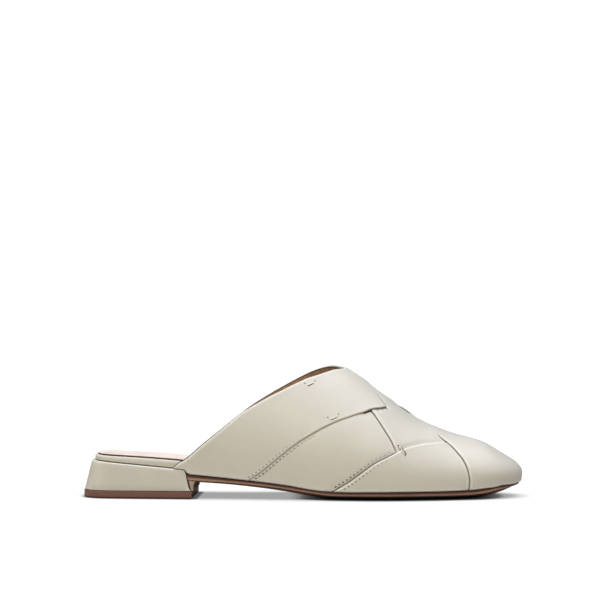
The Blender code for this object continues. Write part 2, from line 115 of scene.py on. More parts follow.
ROOM_LIGHT = 0.05           # what the room gives to the shoe
ROOM_COLOUR = (1.0, 0.92, 0.82)
ROOM_SEEN = 1.3             # what shows behind the shoe
SUNS = (                    # name, power, colour, width in degrees, where it shines from
    ("warm sun", 3.46, (1.0, 0.935, 0.765), 106, (-0.15, -0.25, 1.0)),
    ("sky", 1.15, (0.08, 0.30, 1.0), 40, (0.0, 0.0, 1.0)),
)

world = bpy.data.worlds.new("room")
scene.world = world
world.use_nodes = True
room = world.node_tree
background = room.nodes["Background"]
background.inputs["Color"].default_value = (*ROOM_COLOUR, 1)
background.inputs["Strength"].default_value = ROOM_LIGHT
by_camera = node(room, "ShaderNodeLightPath").outputs["Is Camera Ray"]
white = node(room, "ShaderNodeBackground", [("Strength", ROOM_SEEN)])
either = node(room, "ShaderNodeMixShader", [
    (0, by_camera), (1, background.outputs[0]), (2, white.outputs[0]),
])
room.links.new(either.outputs[0], room.nodes["World Output"].inputs["Surface"])

for name, power, colour, width, source in SUNS:
    sun = bpy.data.lights.new(name, "SUN")
    sun.energy, sun.angle, sun.color = power, radians(width), colour
    sun_lamp = bpy.data.objects.new(name, sun)
    sun_lamp.rotation_euler = Vector(source).to_track_quat("Z", "Y").to_euler()
    scene.collection.objects.link(sun_lamp)
    print(name, "shines", width, "degrees wide")

# %% [markdown]
# ## White paper
#
# Seen by the camera, the paper glows white and turns grey only close under the shoe. Three Ambient
# Occlusion nodes find the shoe over it: one reaches far, for the soft grey under the arch, one is short,
# for the dark line where the sole touches, and one looks sideways, for the dark foot of the heel. For the
# light that it throws back at the shoe it is plain matt paper. A paper lit only by the sun would do, but
# then its white would change with every change of the lamps.

# %% Paper
PAPER = (                   # what the paper throws back, between its fibres and on them
    (0.39, 0.372, 0.335, 1),
    (0.43, 0.412, 0.375, 1),
)
PAPER_GLOW = 1.1
TABLE_REACH = 30.0          # metres from the shoe to the table's edge
SHADES = (                  # reach in metres, openness from and to, light left, and the way it looks
    (0.032, (0.25, 0.85), 0.34, None),
    (0.004, (0.02, 0.45), 0.02, None),
    (0.004, (0.80, 0.97), 0.28, (-0.6, 0.75, 0.25)),
)


def build_paper():
    """White paper: it glows for the camera, shaded near the shoe, and is plain matt paper for the light."""
    made = bpy.data.materials.new("white paper")
    made.use_nodes = True
    tree = made.node_tree
    matt = tree.nodes["Principled BSDF"]
    matt.inputs["Roughness"].default_value = 0.9
    fibres = node(tree, "ShaderNodeTexNoise", [("Scale", 900.0)])
    tree.links.new(blend(tree, fibres.outputs[0], *PAPER), matt.inputs["Base Color"])
    light_left = PAPER_GLOW
    for reach, (closed, clear), darkest, way in SHADES:
        openness = node(tree, "ShaderNodeAmbientOcclusion", [("Distance", reach)], samples=16)
        if way:
            towards = node(tree, "ShaderNodeCombineXYZ", enumerate(Vector(way).normalized()))
            tree.links.new(towards.outputs[0], openness.inputs["Normal"])
        tone = node(tree, "ShaderNodeMapRange", [
            ("Value", openness.outputs["AO"]), ("From Min", closed), ("From Max", clear), ("To Min", darkest),
        ])
        light_left = maths(tree, "MULTIPLY", tone.outputs[0], light_left)
    glow = node(tree, "ShaderNodeEmission", [("Strength", light_left)])
    seen = node(tree, "ShaderNodeLightPath").outputs["Is Camera Ray"]
    either = node(tree, "ShaderNodeMixShader", [(0, seen), (1, matt.outputs[0]), (2, glow.outputs[0])])
    tree.links.new(either.outputs[0], tree.nodes["Material Output"].inputs["Surface"])
    return made


corners = [(x * TABLE_REACH, y * TABLE_REACH, 0) for x, y in ((-1, -1), (1, -1), (1, 1), (-1, 1))]
table_data = bpy.data.meshes.new("table")
table_data.from_pydata(corners, [], [(0, 1, 2, 3)])
table_data.materials.append(build_paper())
table = bpy.data.objects.new("table", table_data)
scene.collection.objects.link(table)
print("the paper's shade has", len(SHADES), "layers")

# %% [markdown]
# ## The last
#
# A shoemaker builds on a last. Here the last is a smooth surface through a few ribs: each rib has its half
# widths at the feather line (where the upper meets the sole), the height of its ridge, and how it swells
# between. A thin-plate spline carries a flat pattern plane onto it. On that plane "along" runs from heel to
# toe in millimetres, and "across" is 0 on the ridge of the instep and 60 at the feather line. Sculpting
# would be quicker, but then the bands could not be drawn flat.

# %% The last's measures
TOE_PIVOT, TOE_TIP = 105.0, 126.5   # the ribs fan out past the pivot, up to the tip of the feather line
TOE_Y = 3.2                 # the toe turns slightly towards the inner side
TOE_CROWN, TOE_DROP = 16.0, 9.9   # how far the toe's top runs on from the pivot, and how far it drops
TOE_RISE = 0.45             # how steeply the toe's front rises from the feather line
TOE_SQUARENESS, SEAT_SQUARENESS = 2.4, 3.2   # superellipse powers of the two ends' outlines
HEEL_BACK, INSOLE_BACK = -125.2, -126.5   # rearmost points of the seat and of the insole
SEAT_PIVOT = -104.0         # the seat's outline starts to close here
GIRTH = 60.0                # half width of the pattern plane
CLEARANCE = 0.3             # between pieces that touch
TO_CENTRE = 1.1             # the last's own zero stands this far ahead of the shoe's middle
HEEL_FRONT = -69.0          # the heel block's top falls towards the toe:
HEEL_HEIGHT = 16.6          # its height at the front,
HEEL_SLOPE = 0.09           # and how much higher it is for each millimetre further back
FOOT_CLIMBS = -67.0         # the upper's bottom edge leaves the sole here,
FOOT_CLIMB = 2.2            # is up on the heel block this much further back,
FOOT_FADE = 6.0             # and takes this much of the side up with it


def table_of(names, rows):
    """A table as one array per named column."""
    return dict(zip(names, np.array(rows, float).T))


LAST_COLUMNS = ("x", "outer", "inner", "feather", "ridge_y", "ridge_z", "rise", "crown", "bulge")
LAST = table_of(LAST_COLUMNS, (
    (-130, 22.5, 22.0, 19.0, 0.0, 104.0, 0.42, 0.50, 3.0),
    (-104, 24.4, 23.8, 17.0, 0.0, 102.0, 0.42, 0.50, 3.5),
    (-75, 26.6, 25.2, 14.9, 0.5, 99.0, 0.42, 0.50, 4.5),
    (-40, 28.4, 24.0, 11.65, 1.5, 94.0, 0.42, 0.50, 5.5),
    (-10, 32.4, 26.4, 8.25, 2.5, 88.0, 0.44, 0.52, 6.0),
    (10, 36.2, 31.0, 5.3, 3.2, 82.2, 0.46, 0.54, 6.0),
    (25, 38.6, 35.8, 4.9, 3.8, 75.0, 0.48, 0.56, 5.5),
    (40, 39.8, 39.0, 5.05, 4.2, 65.0, 0.50, 0.58, 5.0),
    (55, 38.8, 40.0, 5.15, 4.4, 53.2, 0.52, 0.60, 4.2),
    (70, 36.0, 39.0, 5.2, 4.4, 43.6, 0.54, 0.62, 3.6),
    (87, 31.4, 35.8, 5.35, 4.0, 36.3, 0.56, 0.64, 3.2),
    (105, 25.2, 30.6, 6.5, 3.2, 31.1, 0.56, 0.64, 6.2),
    (112, 22.7, 28.3, 7.9, 3.2, 27.4, 0.56, 0.64, 5.6),
    (118, 20.2, 26.1, 7.9, 3.2, 22.7, 0.56, 0.64, 4.8),
    (130, 15.0, 21.4, 9.4, 3.2, 14.0, 0.56, 0.64, 3.2),
))
SOLE = table_of(("x", "underside", "edge_lift"), (
    (-68, 9.4, 0.8), (-40, 7.45, 1.3), (-14, 4.5, 1.8), (4, 1.75, 2.1), (19, 0.0, 2.2), (52, 0.0, 2.1),
    (84, 0.0, 2.1), (98, 0.4, 2.1), (105, 1.2, 2.1), (113, 2.8, 2.1), (118, 3.9, 2.1), (130, 6.0, 2.1),
))
INSOLE = table_of(("x", "top"), (
    (-125, 25.0), (-69, 21.4), (-40, 18.1), (-14, 14.2), (10, 10.9), (30, 9.9), (80, 9.9), (105, 11.0),
    (130, 13.8),
))

# %% A smooth curve through a table, and the ribs
def smooth(table, column, x):
    """Value of a column at x, on a smooth curve through the rows that turns level at each peak."""
    xs, ys = table["x"], table[column]
    step = np.diff(xs)
    rise = np.diff(ys) / step
    slope = np.empty_like(ys)
    slope[0], slope[-1] = rise[0], rise[-1]
    same_way = rise[:-1] * rise[1:] > 0
    between_rows = (rise[:-1] * step[1:] + rise[1:] * step[:-1]) / (step[:-1] + step[1:])
    slope[1:-1] = np.where(same_way, between_rows, 0)
    x = np.clip(np.asarray(x, float), xs[0], xs[-1])
    i = np.clip(np.searchsorted(xs, x, side="right") - 1, 0, len(xs) - 2)
    t = (x - xs[i]) / step[i]
    return (
        ys[i] * (1 + 2 * t) * (1 - t) ** 2
        + ys[i + 1] * t * t * (3 - 2 * t)
        + step[i] * (slope[i] * t * (1 - t) ** 2 - slope[i + 1] * t * t * (1 - t))
    )


def toe_point(turn, side):
    """Feather line past the toe pivot: turn runs from 90 degrees at the pivot to 0 at the tip."""
    power = 2 / TOE_SQUARENESS
    forward, aside = abs(cos(turn)) ** power, abs(sin(turn)) ** power
    x = TOE_PIVOT + (TOE_TIP - TOE_PIVOT) * forward
    half = smooth(LAST, "inner", x) - TOE_Y if side > 0 else smooth(LAST, "outer", x) + TOE_Y
    return np.array((x, TOE_Y + side * half * aside, smooth(LAST, "feather", x)))


STEPS_UP = (0, 0.2, 0.4, 0.6, 0.8)   # places on half a rib, as shares of the way up
RIB_PLACES = (-118, -96, -75, -57, -40, -25, -10, 3, 15, 25, 35, 45, 55, 65, 76, 87, 96, TOE_PIVOT)
TOE_FAN = (67.5, 45, 22.5, 0, -22.5, -45, -67.5)   # degrees of the ribs round the toe


def rib(foot, outward, top, crown, rise, bulge):
    """Points of half a rib from the feather line up to the ridge, on a cubic Bezier."""
    hold_foot = foot + bulge * outward + np.array((0, 0, rise * (top[2] - foot[2])))
    hold_top = top + crown
    return [
        (1 - t) ** 3 * foot + 3 * t * (1 - t) ** 2 * hold_foot + 3 * t * t * (1 - t) * hold_top + t**3 * top
        for t in STEPS_UP
    ]

# %% The pattern plane, carried onto the last
def last_points():
    """Places on the pattern plane, and the points of the last that they go to."""
    flat, solid = [], []
    for x in RIB_PLACES:
        top = np.array((x, smooth(LAST, "ridge_y", x), smooth(LAST, "ridge_z", x)))
        flat.append((x, 0))
        solid.append(top)
        for side, half in ((-1, "outer"), (1, "inner")):
            outward = np.array((0, side, 0))
            foot = np.array((x, side * smooth(LAST, half, x), smooth(LAST, "feather", x)))
            crown = smooth(LAST, "crown", x) * abs(foot[1] - top[1]) * outward
            solid += rib(foot, outward, top, crown, smooth(LAST, "rise", x), smooth(LAST, "bulge", x))
            flat += [(x, side * GIRTH * (1 - t)) for t in STEPS_UP]
    pole = top
    half_width = (smooth(LAST, "outer", TOE_PIVOT) + smooth(LAST, "inner", TOE_PIVOT)) / 2
    aside = smooth(LAST, "crown", TOE_PIVOT) * half_width
    for degrees in TOE_FAN:
        turn = radians(degrees)
        foot = toe_point(abs(turn), 1 if degrees >= 0 else -1)
        outward = np.array((cos(turn), sin(turn), 0))
        crown = np.array((TOE_CROWN * cos(turn), aside * sin(turn), -TOE_DROP * cos(turn)))
        solid += rib(foot, outward, pole, crown, TOE_RISE, smooth(LAST, "bulge", foot[0]))
        flat += [(TOE_PIVOT + GIRTH * (1 - t) * cos(turn), GIRTH * (1 - t) * sin(turn)) for t in STEPS_UP]
    return np.array(flat), np.array(solid)


def spring(squared):
    """Kernel of the thin-plate spline for a squared distance."""
    return squared * np.log(squared + 1e-9)


def fit_last():
    """Weights of the thin-plate spline from the pattern plane to the last."""
    flat, solid = last_points()
    gaps = ((flat[:, None] - flat[None]) ** 2).sum(2)
    ones = np.hstack([np.ones((len(flat), 1)), flat])
    system = np.block([[spring(gaps), ones], [ones.T, np.zeros((3, 3))]])
    return flat, np.linalg.solve(system, np.vstack([solid, np.zeros((3, 3))]))


FLAT, WEIGHTS = fit_last()
NUDGE = 0.05                # mm, for slopes on the last


def on_last(places):
    """Points of the last for places on the pattern plane, in millimetres."""
    places = np.atleast_2d(np.asarray(places, float))
    gaps = ((places[:, None] - FLAT[None]) ** 2).sum(2)
    return np.hstack([spring(gaps), np.ones((len(places), 1)), places]) @ WEIGHTS


def heel_top(x):
    """Height of the heel block's sloping top."""
    return HEEL_HEIGHT - HEEL_SLOPE * (x - HEEL_FRONT)


def upper_foot(x):
    """Height of the upper's bottom edge: on the sole, then up over the corner of the heel block."""
    on_sole, on_heel = smooth(LAST, "feather", x), heel_top(x) + CLEARANCE
    share = np.clip((FOOT_CLIMBS - x) / FOOT_CLIMB, 0, 1)
    return on_sole * (1 - share) + on_heel * share


def foot_lift(points):
    """How much higher the upper sits than the last says: its foot's climb, fading out up the side."""
    feather = smooth(LAST, "feather", points[:, 0])
    t = np.clip((points[:, 2] - feather) / FOOT_FADE, 0, 1)
    return (upper_foot(points[:, 0]) - feather) * (1 - t * t * (3 - 2 * t))


def in_metres(points):
    """Points in metres in the shoe's own frame, for a mesh."""
    return ((np.asarray(points, float) + (TO_CENTRE, 0, 0)) * MM).tolist()


def slopes(places):
    """How the last moves in space for one millimetre along, and for one across."""
    along = on_last(places + (NUDGE, 0)) - on_last(places - (NUDGE, 0))
    across = on_last(places + (0, NUDGE)) - on_last(places - (0, NUDGE))
    return along / (2 * NUDGE), across / (2 * NUDGE)


def above_last(places, height):
    """Points that stand out of the last by a height in millimetres."""
    places = np.atleast_2d(np.asarray(places, float))
    out = np.cross(*slopes(places))
    out /= np.linalg.norm(out, axis=1)[:, None]
    base = on_last(places)
    base[:, 2] += foot_lift(base)
    return base + out * np.reshape(height, (-1, 1))


print("the last runs through", len(FLAT), "points")

# %% [markdown]
# ## The pattern
#
# These are the lines that a pattern cutter draws: the collar, the seams between the bands and the edge of
# the toe cap. The rows are (along, across), with across as a share of the half girth, negative on the outer
# side of the foot.

# %% The pattern's lines
COLLAR = (
    (-75.5, -1), (-75.3, -0.993), (-73.9, -0.963), (-72.5, -0.945), (-70.5, -0.935), (-68, -0.918),
    (-61, -0.857), (-48, -0.749), (-37, -0.655), (-24, -0.564), (-11, -0.474), (1, -0.377), (9.5, -0.303),
    (17.5, -0.2), (22.5, -0.11), (24.2, 0), (22.8, 0.06), (17.5, 0.137), (9.5, 0.247), (1, 0.342),
    (-11, 0.454), (-24, 0.557), (-30, 0.602), (-36, 0.649), (-47, 0.747), (-60, 0.854), (-68, 0.928),
    (-75.1, 0.99), (-75.3, 1),
)
SEAM_REAR = (
    (-32, -1), (-24, -0.94), (-14, -0.853), (-5, -0.777), (5, -0.703), (15, -0.632), (30, -0.52),
    (36, -0.46), (39.6, -0.410), (44, -0.355), (48, -0.285),
)
SEAM_FRONT = (
    (17, -1), (21.8, -0.971), (25.9, -0.945), (31.3, -0.903), (36.7, -0.856), (41.4, -0.812),
    (46.9, -0.764), (50.6, -0.726), (53.3, -0.693), (57.3, -0.64), (66, -0.54), (80.5, -0.385),
)
BAND_END = (
    (24, -0.02), (29, -0.085), (34, -0.13), (38, -0.15), (41.8, -0.178), (44.5, -0.215), (46.5, -0.26),
    (48, -0.285),
)
CROSS_REAR = ((39.5, -0.415), (43.5, -0.475), (47.6, -0.541), (51, -0.602), (53.7, -0.68))
CAP_EDGE = (
    (95.6, -1), (96, -0.9), (95.6, -0.8), (94.4, -0.7), (92.4, -0.6), (89.1, -0.5), (85.8, -0.41),
    (82.4, -0.345), (79.4, -0.305), (77.5, -0.25), (78.6, -0.12), (82, 0.06), (85.5, 0.24), (89, 0.42),
    (92.5, 0.6), (95.2, 0.8), (96, 1),
)
INNER_REAR = (
    (-31, 1), (-23, 0.94), (-13, 0.86), (5, 0.71), (20, 0.58), (34, 0.43), (45, 0.25), (51, 0.06),
    (55, -0.03), (58, -0.064), (61, -0.06), (64, -0.04), (70, 0.0), (84, 0.06),
)
INNER_FRONT = ((18, 1), (27, 0.93), (39, 0.83), (51, 0.71), (63, 0.57), (75, 0.43), (88, 0.31))

PITCH = 1.3                 # mm between points along a line
OVERRUN = 5.0               # mm that a band runs on under its cover


def spline(rows, pitch=PITCH):
    """Places every pitch millimetres or so along a smooth line through rows of (along, share across)."""
    rows = np.array(rows, float) * (1, GIRTH)
    run = np.concatenate([[0], np.cumsum(np.linalg.norm(np.diff(rows, axis=0), axis=1))])
    table = {"x": run, "along": rows[:, 0], "across": rows[:, 1]}
    at = np.linspace(0, run[-1], max(2, round(run[-1] / pitch) + 1))
    return np.stack([smooth(table, "along", at), smooth(table, "across", at)], 1)


def longer(line, start, end):
    """A line run on straight past its two ends."""
    first, last = line[0] - line[1], line[-1] - line[-2]
    return np.vstack([line[0] + first * start / hypot(*first), line, line[-1] + last * end / hypot(*last)])


def shifted(line, distance):
    """A parallel line, to the left for a positive distance, measured in millimetres on the last."""
    way = np.gradient(line, axis=0)
    left = np.stack([-way[:, 1], way[:, 0]], 1)
    along, across = slopes(line)
    e, f, g = (along * along).sum(1), (along * across).sum(1), (across * across).sum(1)
    aside = np.stack([g * left[:, 0] - f * left[:, 1], e * left[:, 1] - f * left[:, 0]], 1)
    length = np.sqrt(e * aside[:, 0] ** 2 + 2 * f * aside[:, 0] * aside[:, 1] + g * aside[:, 1] ** 2)
    return line + distance * aside / length[:, None]


def inside(places, polygon):
    """Which places lie inside a polygon."""
    x, y = places[:, :1], places[:, 1:]
    x0, y0 = polygon.T
    x1, y1 = np.roll(polygon, -1, axis=0).T
    crosses = (y0 > y) != (y1 > y)
    with np.errstate(divide="ignore", invalid="ignore"):
        left_of = x < (x1 - x0) * (y - y0) / (y1 - y0) + x0
    return (crosses & left_of).sum(1) % 2 == 1


collar = spline(COLLAR[1:-1])
rear, front = spline(SEAM_REAR), spline(SEAM_FRONT)
band_end, cross_rear = spline(BAND_END), spline(CROSS_REAR)
cap_edge = spline(CAP_EDGE)
inner_rear, inner_front = spline(INNER_REAR), spline(INNER_FRONT)
print("the collar has", len(collar), "places, the cap's edge", len(cap_edge))

# %% The bands' outlines
WIDE = 1.3 * GIRTH          # well past the feather line,
BEHIND, AHEAD = -200, 300   # the heel and the toe
SIDE_BACK, SIDE_AHEAD = 10, 100   # and past both ends of the front bands' feet


def upper_outline():
    """The whole upper's outline: feather line round the toe, and the collar."""
    turns = np.linspace(0, pi, round(pi * GIRTH / PITCH))
    fan = [(TOE_PIVOT + GIRTH * sin(t), -GIRTH * cos(t)) for t in turns]
    sides = []
    for back, _ in (COLLAR[0], COLLAR[-1]):
        sides.append(np.linspace(back, TOE_PIVOT, round((TOE_PIVOT - back) / PITCH))[:-1])
    outer = [(x, -GIRTH) for x in sides[0]]
    inner = [(x, GIRTH) for x in sides[1][::-1]]
    return np.vstack([outer, fan, inner, collar[::-1]])


UPPER = upper_outline()
under_cap = longer(shifted(cap_edge, -OVERRUN), 4, 4)
rear_region = np.vstack([
    longer(rear, 4, 0.01),
    longer(band_end, 4, 0)[::-1],
    [(BEHIND, 0), (BEHIND, -WIDE)],
])
cross_region = np.vstack([
    longer(inner_rear, 4, OVERRUN),
    [(88, -6), (86, -18)],
    longer(shifted(front[front[:, 0] > 57], -OVERRUN), 0, 0)[::-1],
    longer(cross_rear, OVERRUN + 1, OVERRUN)[::-1],
    [(28, -13), (18, -8), (10, 0), (BEHIND, 0), (BEHIND, WIDE)],
])
middle_region = np.vstack([
    longer(shifted(rear[rear[:, 0] < 38], OVERRUN), 6, 0),
    [(44, -19)],
    shifted(cross_rear, OVERRUN),
    longer(shifted(front[front[:, 0] < 56], -OVERRUN), 6, 0)[::-1],
])
front_region = np.vstack([
    longer(front, 4, OVERRUN),
    under_cap[under_cap[:, 1] < -22][::-1],
    [(SIDE_AHEAD, -WIDE), (SIDE_BACK, -WIDE)],
])
cap_region = np.vstack([longer(cap_edge, 4, 4), [(AHEAD, WIDE), (AHEAD, -WIDE)]])
inner_middle_region = np.vstack([
    longer(shifted(inner_rear, -OVERRUN), 6, OVERRUN),
    longer(shifted(inner_front, OVERRUN), 6, OVERRUN)[::-1],
])
inner_front_region = np.vstack([
    longer(inner_front, 4, OVERRUN),
    under_cap[under_cap[:, 1] > 18],
    [(SIDE_AHEAD, WIDE), (SIDE_BACK, WIDE)],
])
print("outline of the upper:", len(UPPER), "places")

# %% [markdown]
# ## Leather bands
#
# A band is a real piece of leather: it has a face, a back, and a rolled edge that catches the light. It
# could be a plane with Solidify and Bevel, but then it would not dip under its neighbour. So each band is
# cut from the pattern as a closed solid: rows of points follow its edge, so that the roll is smooth, and
# the face sinks where another band crosses it. Its points also carry painted shade beside the seams and in
# the gaps between bands, and a painted highlight along the rolled edges and beside the seams.

# %% Distances on the leather
LEATHER = 1.1               # thickness of a band
EDGE_ROWS = (0.08, 0.2, 0.38, 0.6, 0.9, 1.3, 1.9)   # rows of points inside an edge,
GUIDE_ROWS = (-0.75, -0.4, -0.18, 0, 0.18, 0.4, 0.75)   # beside a row of stitches
SEAM_ROWS = (-1.6, -1.15, -0.8, -0.5, -0.25, 0, 0.25, 0.5, 0.8, 1.15, 1.6)   # and beside a seam
TOO_CLOSE = 0.07            # mm from an edge, where a row's points are left out
PATTERN_REACH = 170         # a region's border is cut off this far from the pattern's zero


def distance(points, starts, ends):
    """Distance in space from each point to the nearest of some straight stretches."""
    found = np.empty(len(points))
    way = ends - starts
    length = (way * way).sum(1) + 1e-12
    for i in range(0, len(points), 400):
        offset = points[i:i + 400, None] - starts[None]
        part = np.clip((offset * way).sum(2) / length, 0, 1)
        found[i:i + 400] = np.sqrt(((offset - part[..., None] * way) ** 2).sum(2).min(1))
    return found


def to_line(points, line, closed=False):
    """Distance in space from points of the last to a line of the pattern."""
    line = on_last(line)
    ends = np.roll(line, -1, axis=0) if closed else line[1:]
    return distance(points, line if closed else line[:-1], ends)


def ease(low, high, value):
    """0 below low, 1 above high, and a smooth step between."""
    t = np.clip((value - low) / (high - low), 0, 1)
    return t * t * (3 - 2 * t)


def ridge(gap, width):
    """1 on a line and fading out to both sides of it, for a distance from the line."""
    return np.exp(-((gap / width) ** 2))

# %% Cutting a band
def even_border(region):
    """The region's border with a point at every pitch."""
    closed = np.vstack([region, region[:1]])
    run = np.concatenate([[0], np.cumsum(np.hypot(*np.diff(closed, axis=0).T))])
    at = np.linspace(0, run[-1], round(run[-1] / PITCH))[:-1]
    border = np.stack([np.interp(at, run, closed[:, 0]), np.interp(at, run, closed[:, 1])], 1)
    return np.clip(border, -PATTERN_REACH, PATTERN_REACH)


def even_grid(outline):
    """A grid of places in triangles, over the whole outline."""
    row = PITCH * 3**0.5 / 2
    low, high = outline.min(0), outline.max(0)
    return np.array([
        (x + PITCH / 2 * (j % 2), j * row)
        for j in range(int(low[1] / row), int(high[1] / row) + 1)
        for x in np.arange(low[0], high[0], PITCH)
    ])


def cut(region, outline, guides=(), seams=()):
    """Flat pattern of one piece: its places, triangles and rim. Guides and seams are lines that get rows."""
    border = even_border(region)
    rows = []
    for line, all_of_it in ((border, False), (outline, True)):
        line = np.vstack([line, line[:1]])
        near = inside(line, outline) | inside(line, region) | all_of_it
        for depth in EDGE_ROWS:
            rows += [shifted(line, side)[near] for side in (-depth, depth)]
    for lines, sides in ((guides, GUIDE_ROWS), (seams, SEAM_ROWS)):
        rows += [shifted(line, side) for line in lines for side in sides]
    rows = np.vstack(rows)
    grid = even_grid(outline)
    grid = grid[inside(grid, outline) & inside(grid, region)]
    rows = rows[inside(rows, outline) & inside(rows, region)]

    solid_rows, solid_grid = on_last(rows), on_last(grid)
    clear = np.minimum(to_line(solid_rows, border, True), to_line(solid_rows, outline, True)) > TOO_CLOSE
    edge = np.minimum(to_line(solid_grid, border, True), to_line(solid_grid, outline, True))
    far = edge > EDGE_ROWS[-1] + 0.5
    for lines, sides in ((guides, GUIDE_ROWS), (seams, SEAM_ROWS)):
        for line in lines:
            far &= to_line(solid_grid, line) > sides[-1] + 0.4

    places = [tuple(p) for part in (border, outline, rows[clear], grid[far]) for p in part]
    links = [(i, (i + 1) % len(border)) for i in range(len(border))]
    links += [(len(border) + i, len(border) + (i + 1) % len(outline)) for i in range(len(outline))]
    flat, _, faces, *_ = delaunay_2d_cdt(places, links, [], 0, 0.004)
    flat = np.array([tuple(p) for p in flat])
    faces = np.array([tuple(f) for f in faces])
    middle = flat[faces].mean(1)
    faces = faces[inside(middle, outline) & inside(middle, region)]
    used, faces = np.unique(faces, return_inverse=True)
    flat, faces = flat[used], faces.reshape(-1, 3)
    sides = np.vstack([faces[:, (0, 1)], faces[:, (1, 2)], faces[:, (2, 0)]])
    _, first, times = np.unique(np.sort(sides, axis=1), axis=0, return_index=True, return_counts=True)
    return flat, faces, sides[first[times == 1]]

# %% From points to a piece
def as_piece(name, points, faces, sharp=None, paints=(), merge=False):
    """A closed, smooth piece from points in millimetres, faces outwards, with painted values on its points.
    Edges past the angle sharp stay sharp. Merge joins points that meet, and cuts faces into triangles."""
    data = bpy.data.meshes.new(name)
    data.from_pydata(in_metres(points), [], faces)
    for label, values in paints:
        data.attributes.new(label, "FLOAT", "POINT").data.foreach_set("value", np.asarray(values, np.float32))
    mesh = bmesh.new()
    mesh.from_mesh(data)
    if merge:
        bmesh.ops.remove_doubles(mesh, verts=mesh.verts, dist=1e-6)
        bmesh.ops.triangulate(mesh, faces=mesh.faces)
    bmesh.ops.recalc_face_normals(mesh, faces=mesh.faces)
    mesh.to_mesh(data)
    mesh.free()
    data.shade_smooth()
    if sharp:
        data.set_sharp_from_angle(angle=radians(sharp))
    thing = bpy.data.objects.new(name, data)
    scene.collection.objects.link(thing)
    print(name, "has", len(data.polygons), "faces")
    return thing


def solid(name, face, back, triangles, rim, paints):
    """A closed piece from a face, a back and the rim between them."""
    n = len(face)
    a, b = rim[:, 0], rim[:, 1]
    walls = np.vstack([np.stack([b, a, a + n], 1), np.stack([b, a + n, b + n], 1)])
    polygons = np.vstack([triangles, triangles[:, ::-1] + n, walls])
    return as_piece(name, np.vstack([face, back]), polygons.tolist(), 50, paints)

# %% Laying a band on the last
ROLL, ROLL_DROP = 0.8, 0.62   # how far a folded edge rolls over, inwards and downwards
SWELL, SWELL_AT = 0.10, 1.3   # the leather swells behind its rolled edge: how high, and how far in
# painted highlight: how much paler the colour is painted where the leather rolls over an edge and just beside
# a seam
EDGE_HIGHLIGHT = 0.75            # how much paler the leather is where it rolls over an edge
STITCHED_DOWN = 0.16        # how far a row of stitches draws the leather down
THINNEST = 0.25             # what is left of a band where it dips
LINING_FACE, LINING_BACK = -1.5, -2.3   # heights of the lining's two sides over the last


def on_feather(flat):
    """Which places are on the feather line, where the upper meets the sole."""
    radius = np.hypot(flat[:, 0] - TOE_PIVOT, flat[:, 1])
    return np.where(flat[:, 0] > TOE_PIVOT, radius, abs(flat[:, 1])) > 0.9995 * GIRTH


def lay(name, region, level, covers=(), seams=(), rows=(), lifts=(), slit_shadows=(), fades=()):
    """A band at its level. Covers are (region, depth of the dip under it, darkness and width of the painted
    shade beside it), seams the covers' edges, rows the stitches that draw the band down. Lifts raise it,
    slit_shadows are stretches of painted shadow in the gaps between bands, and fades are places where edge
    and painted shade run out."""
    flat, triangles, rim = cut(region, UPPER, rows, seams)
    base = on_last(flat)
    edge = distance(base, base[rim[:, 0]], base[rim[:, 1]])
    clear = np.ones(len(flat))
    for line, reach in fades:
        clear *= 1 - ridge(to_line(base, line), reach)
    roll = np.clip(edge / ROLL, 0, 1)
    height = level - clear * ROLL_DROP * (1 - np.sqrt(1 - (1 - roll) ** 2))
    height += clear * SWELL * ridge(edge - SWELL_AT, 0.8)
    # painted highlight: paler colour painted just inside the rolled edge
    pale = ridge(edge - ROLL, 0.45)
    # painted shade: darker colour painted beside the seams and along the gaps between bands
    painted_shade = np.zeros(len(flat))
    dip = np.zeros(len(flat))
    # each cover sinks the band under it, paints shade beside its edge and a highlight a little further out
    for cover, depth, shade_amount, width in covers:
        gap = to_line(base, cover, True)
        gap[inside(flat, cover)] *= -1
        dip = np.maximum(dip, depth * (1 - ease(-0.8, 3.2, gap)))
        painted_shade = np.maximum(painted_shade, shade_amount * (1 - ease(0.2 * width, width, gap)))
        pale = np.maximum(pale, ridge(gap - width - 0.5, 0.35))
    for line in rows:
        height -= STITCHED_DOWN * ridge(to_line(base, line), 0.45)
    for line, reach, amount in lifts:
        height += amount * ridge(to_line(base, line), reach)
    # painted shadow along the gaps between bands
    for line, reach, shade_amount in slit_shadows:
        painted_shade = np.maximum(painted_shade, shade_amount * (1 - ease(0.3 * reach, reach, to_line(base, line))))
    painted_shade *= clear
    height -= dip * clear
    back = np.minimum(level - LEATHER, height - THINNEST)
    at_collar = 1 - ease(2.0, 4.0, to_line(base, collar))
    back += (np.minimum(back, LINING_FACE + 0.06) - back) * at_collar
    face, behind = above_last(flat, height), above_last(flat, back)
    foot = on_feather(flat)
    for side in (face, behind):
        side[foot, 2] = upper_foot(side[foot, 0])
    on_rim = edge < 0.02
    return solid(name, face, behind, triangles, rim, (
        ("cut_edge", np.concatenate([0.55 * on_rim, 1.0 * on_rim])),
        ("painted_shade", np.concatenate([painted_shade, painted_shade])),
        ("edge_highlight", np.concatenate([EDGE_HIGHLIGHT * pale * clear, 0 * pale])),
    ))

# %% Stitch rows
REAR_GAP, FRONT_GAP = 1.45, 1.85   # mm from a seam to the stitches beside it


def between(line, first, last):
    """The stretch of a line from one place along to another."""
    return line[(line[:, 0] > first) & (line[:, 0] < last)]


def row_beside(seam, gap, first, last):
    """A row of stitches beside a seam, as far down as the leather goes."""
    row = between(shifted(seam, gap), first, last)
    return row[abs(row[:, 1]) < 0.985 * GIRTH]


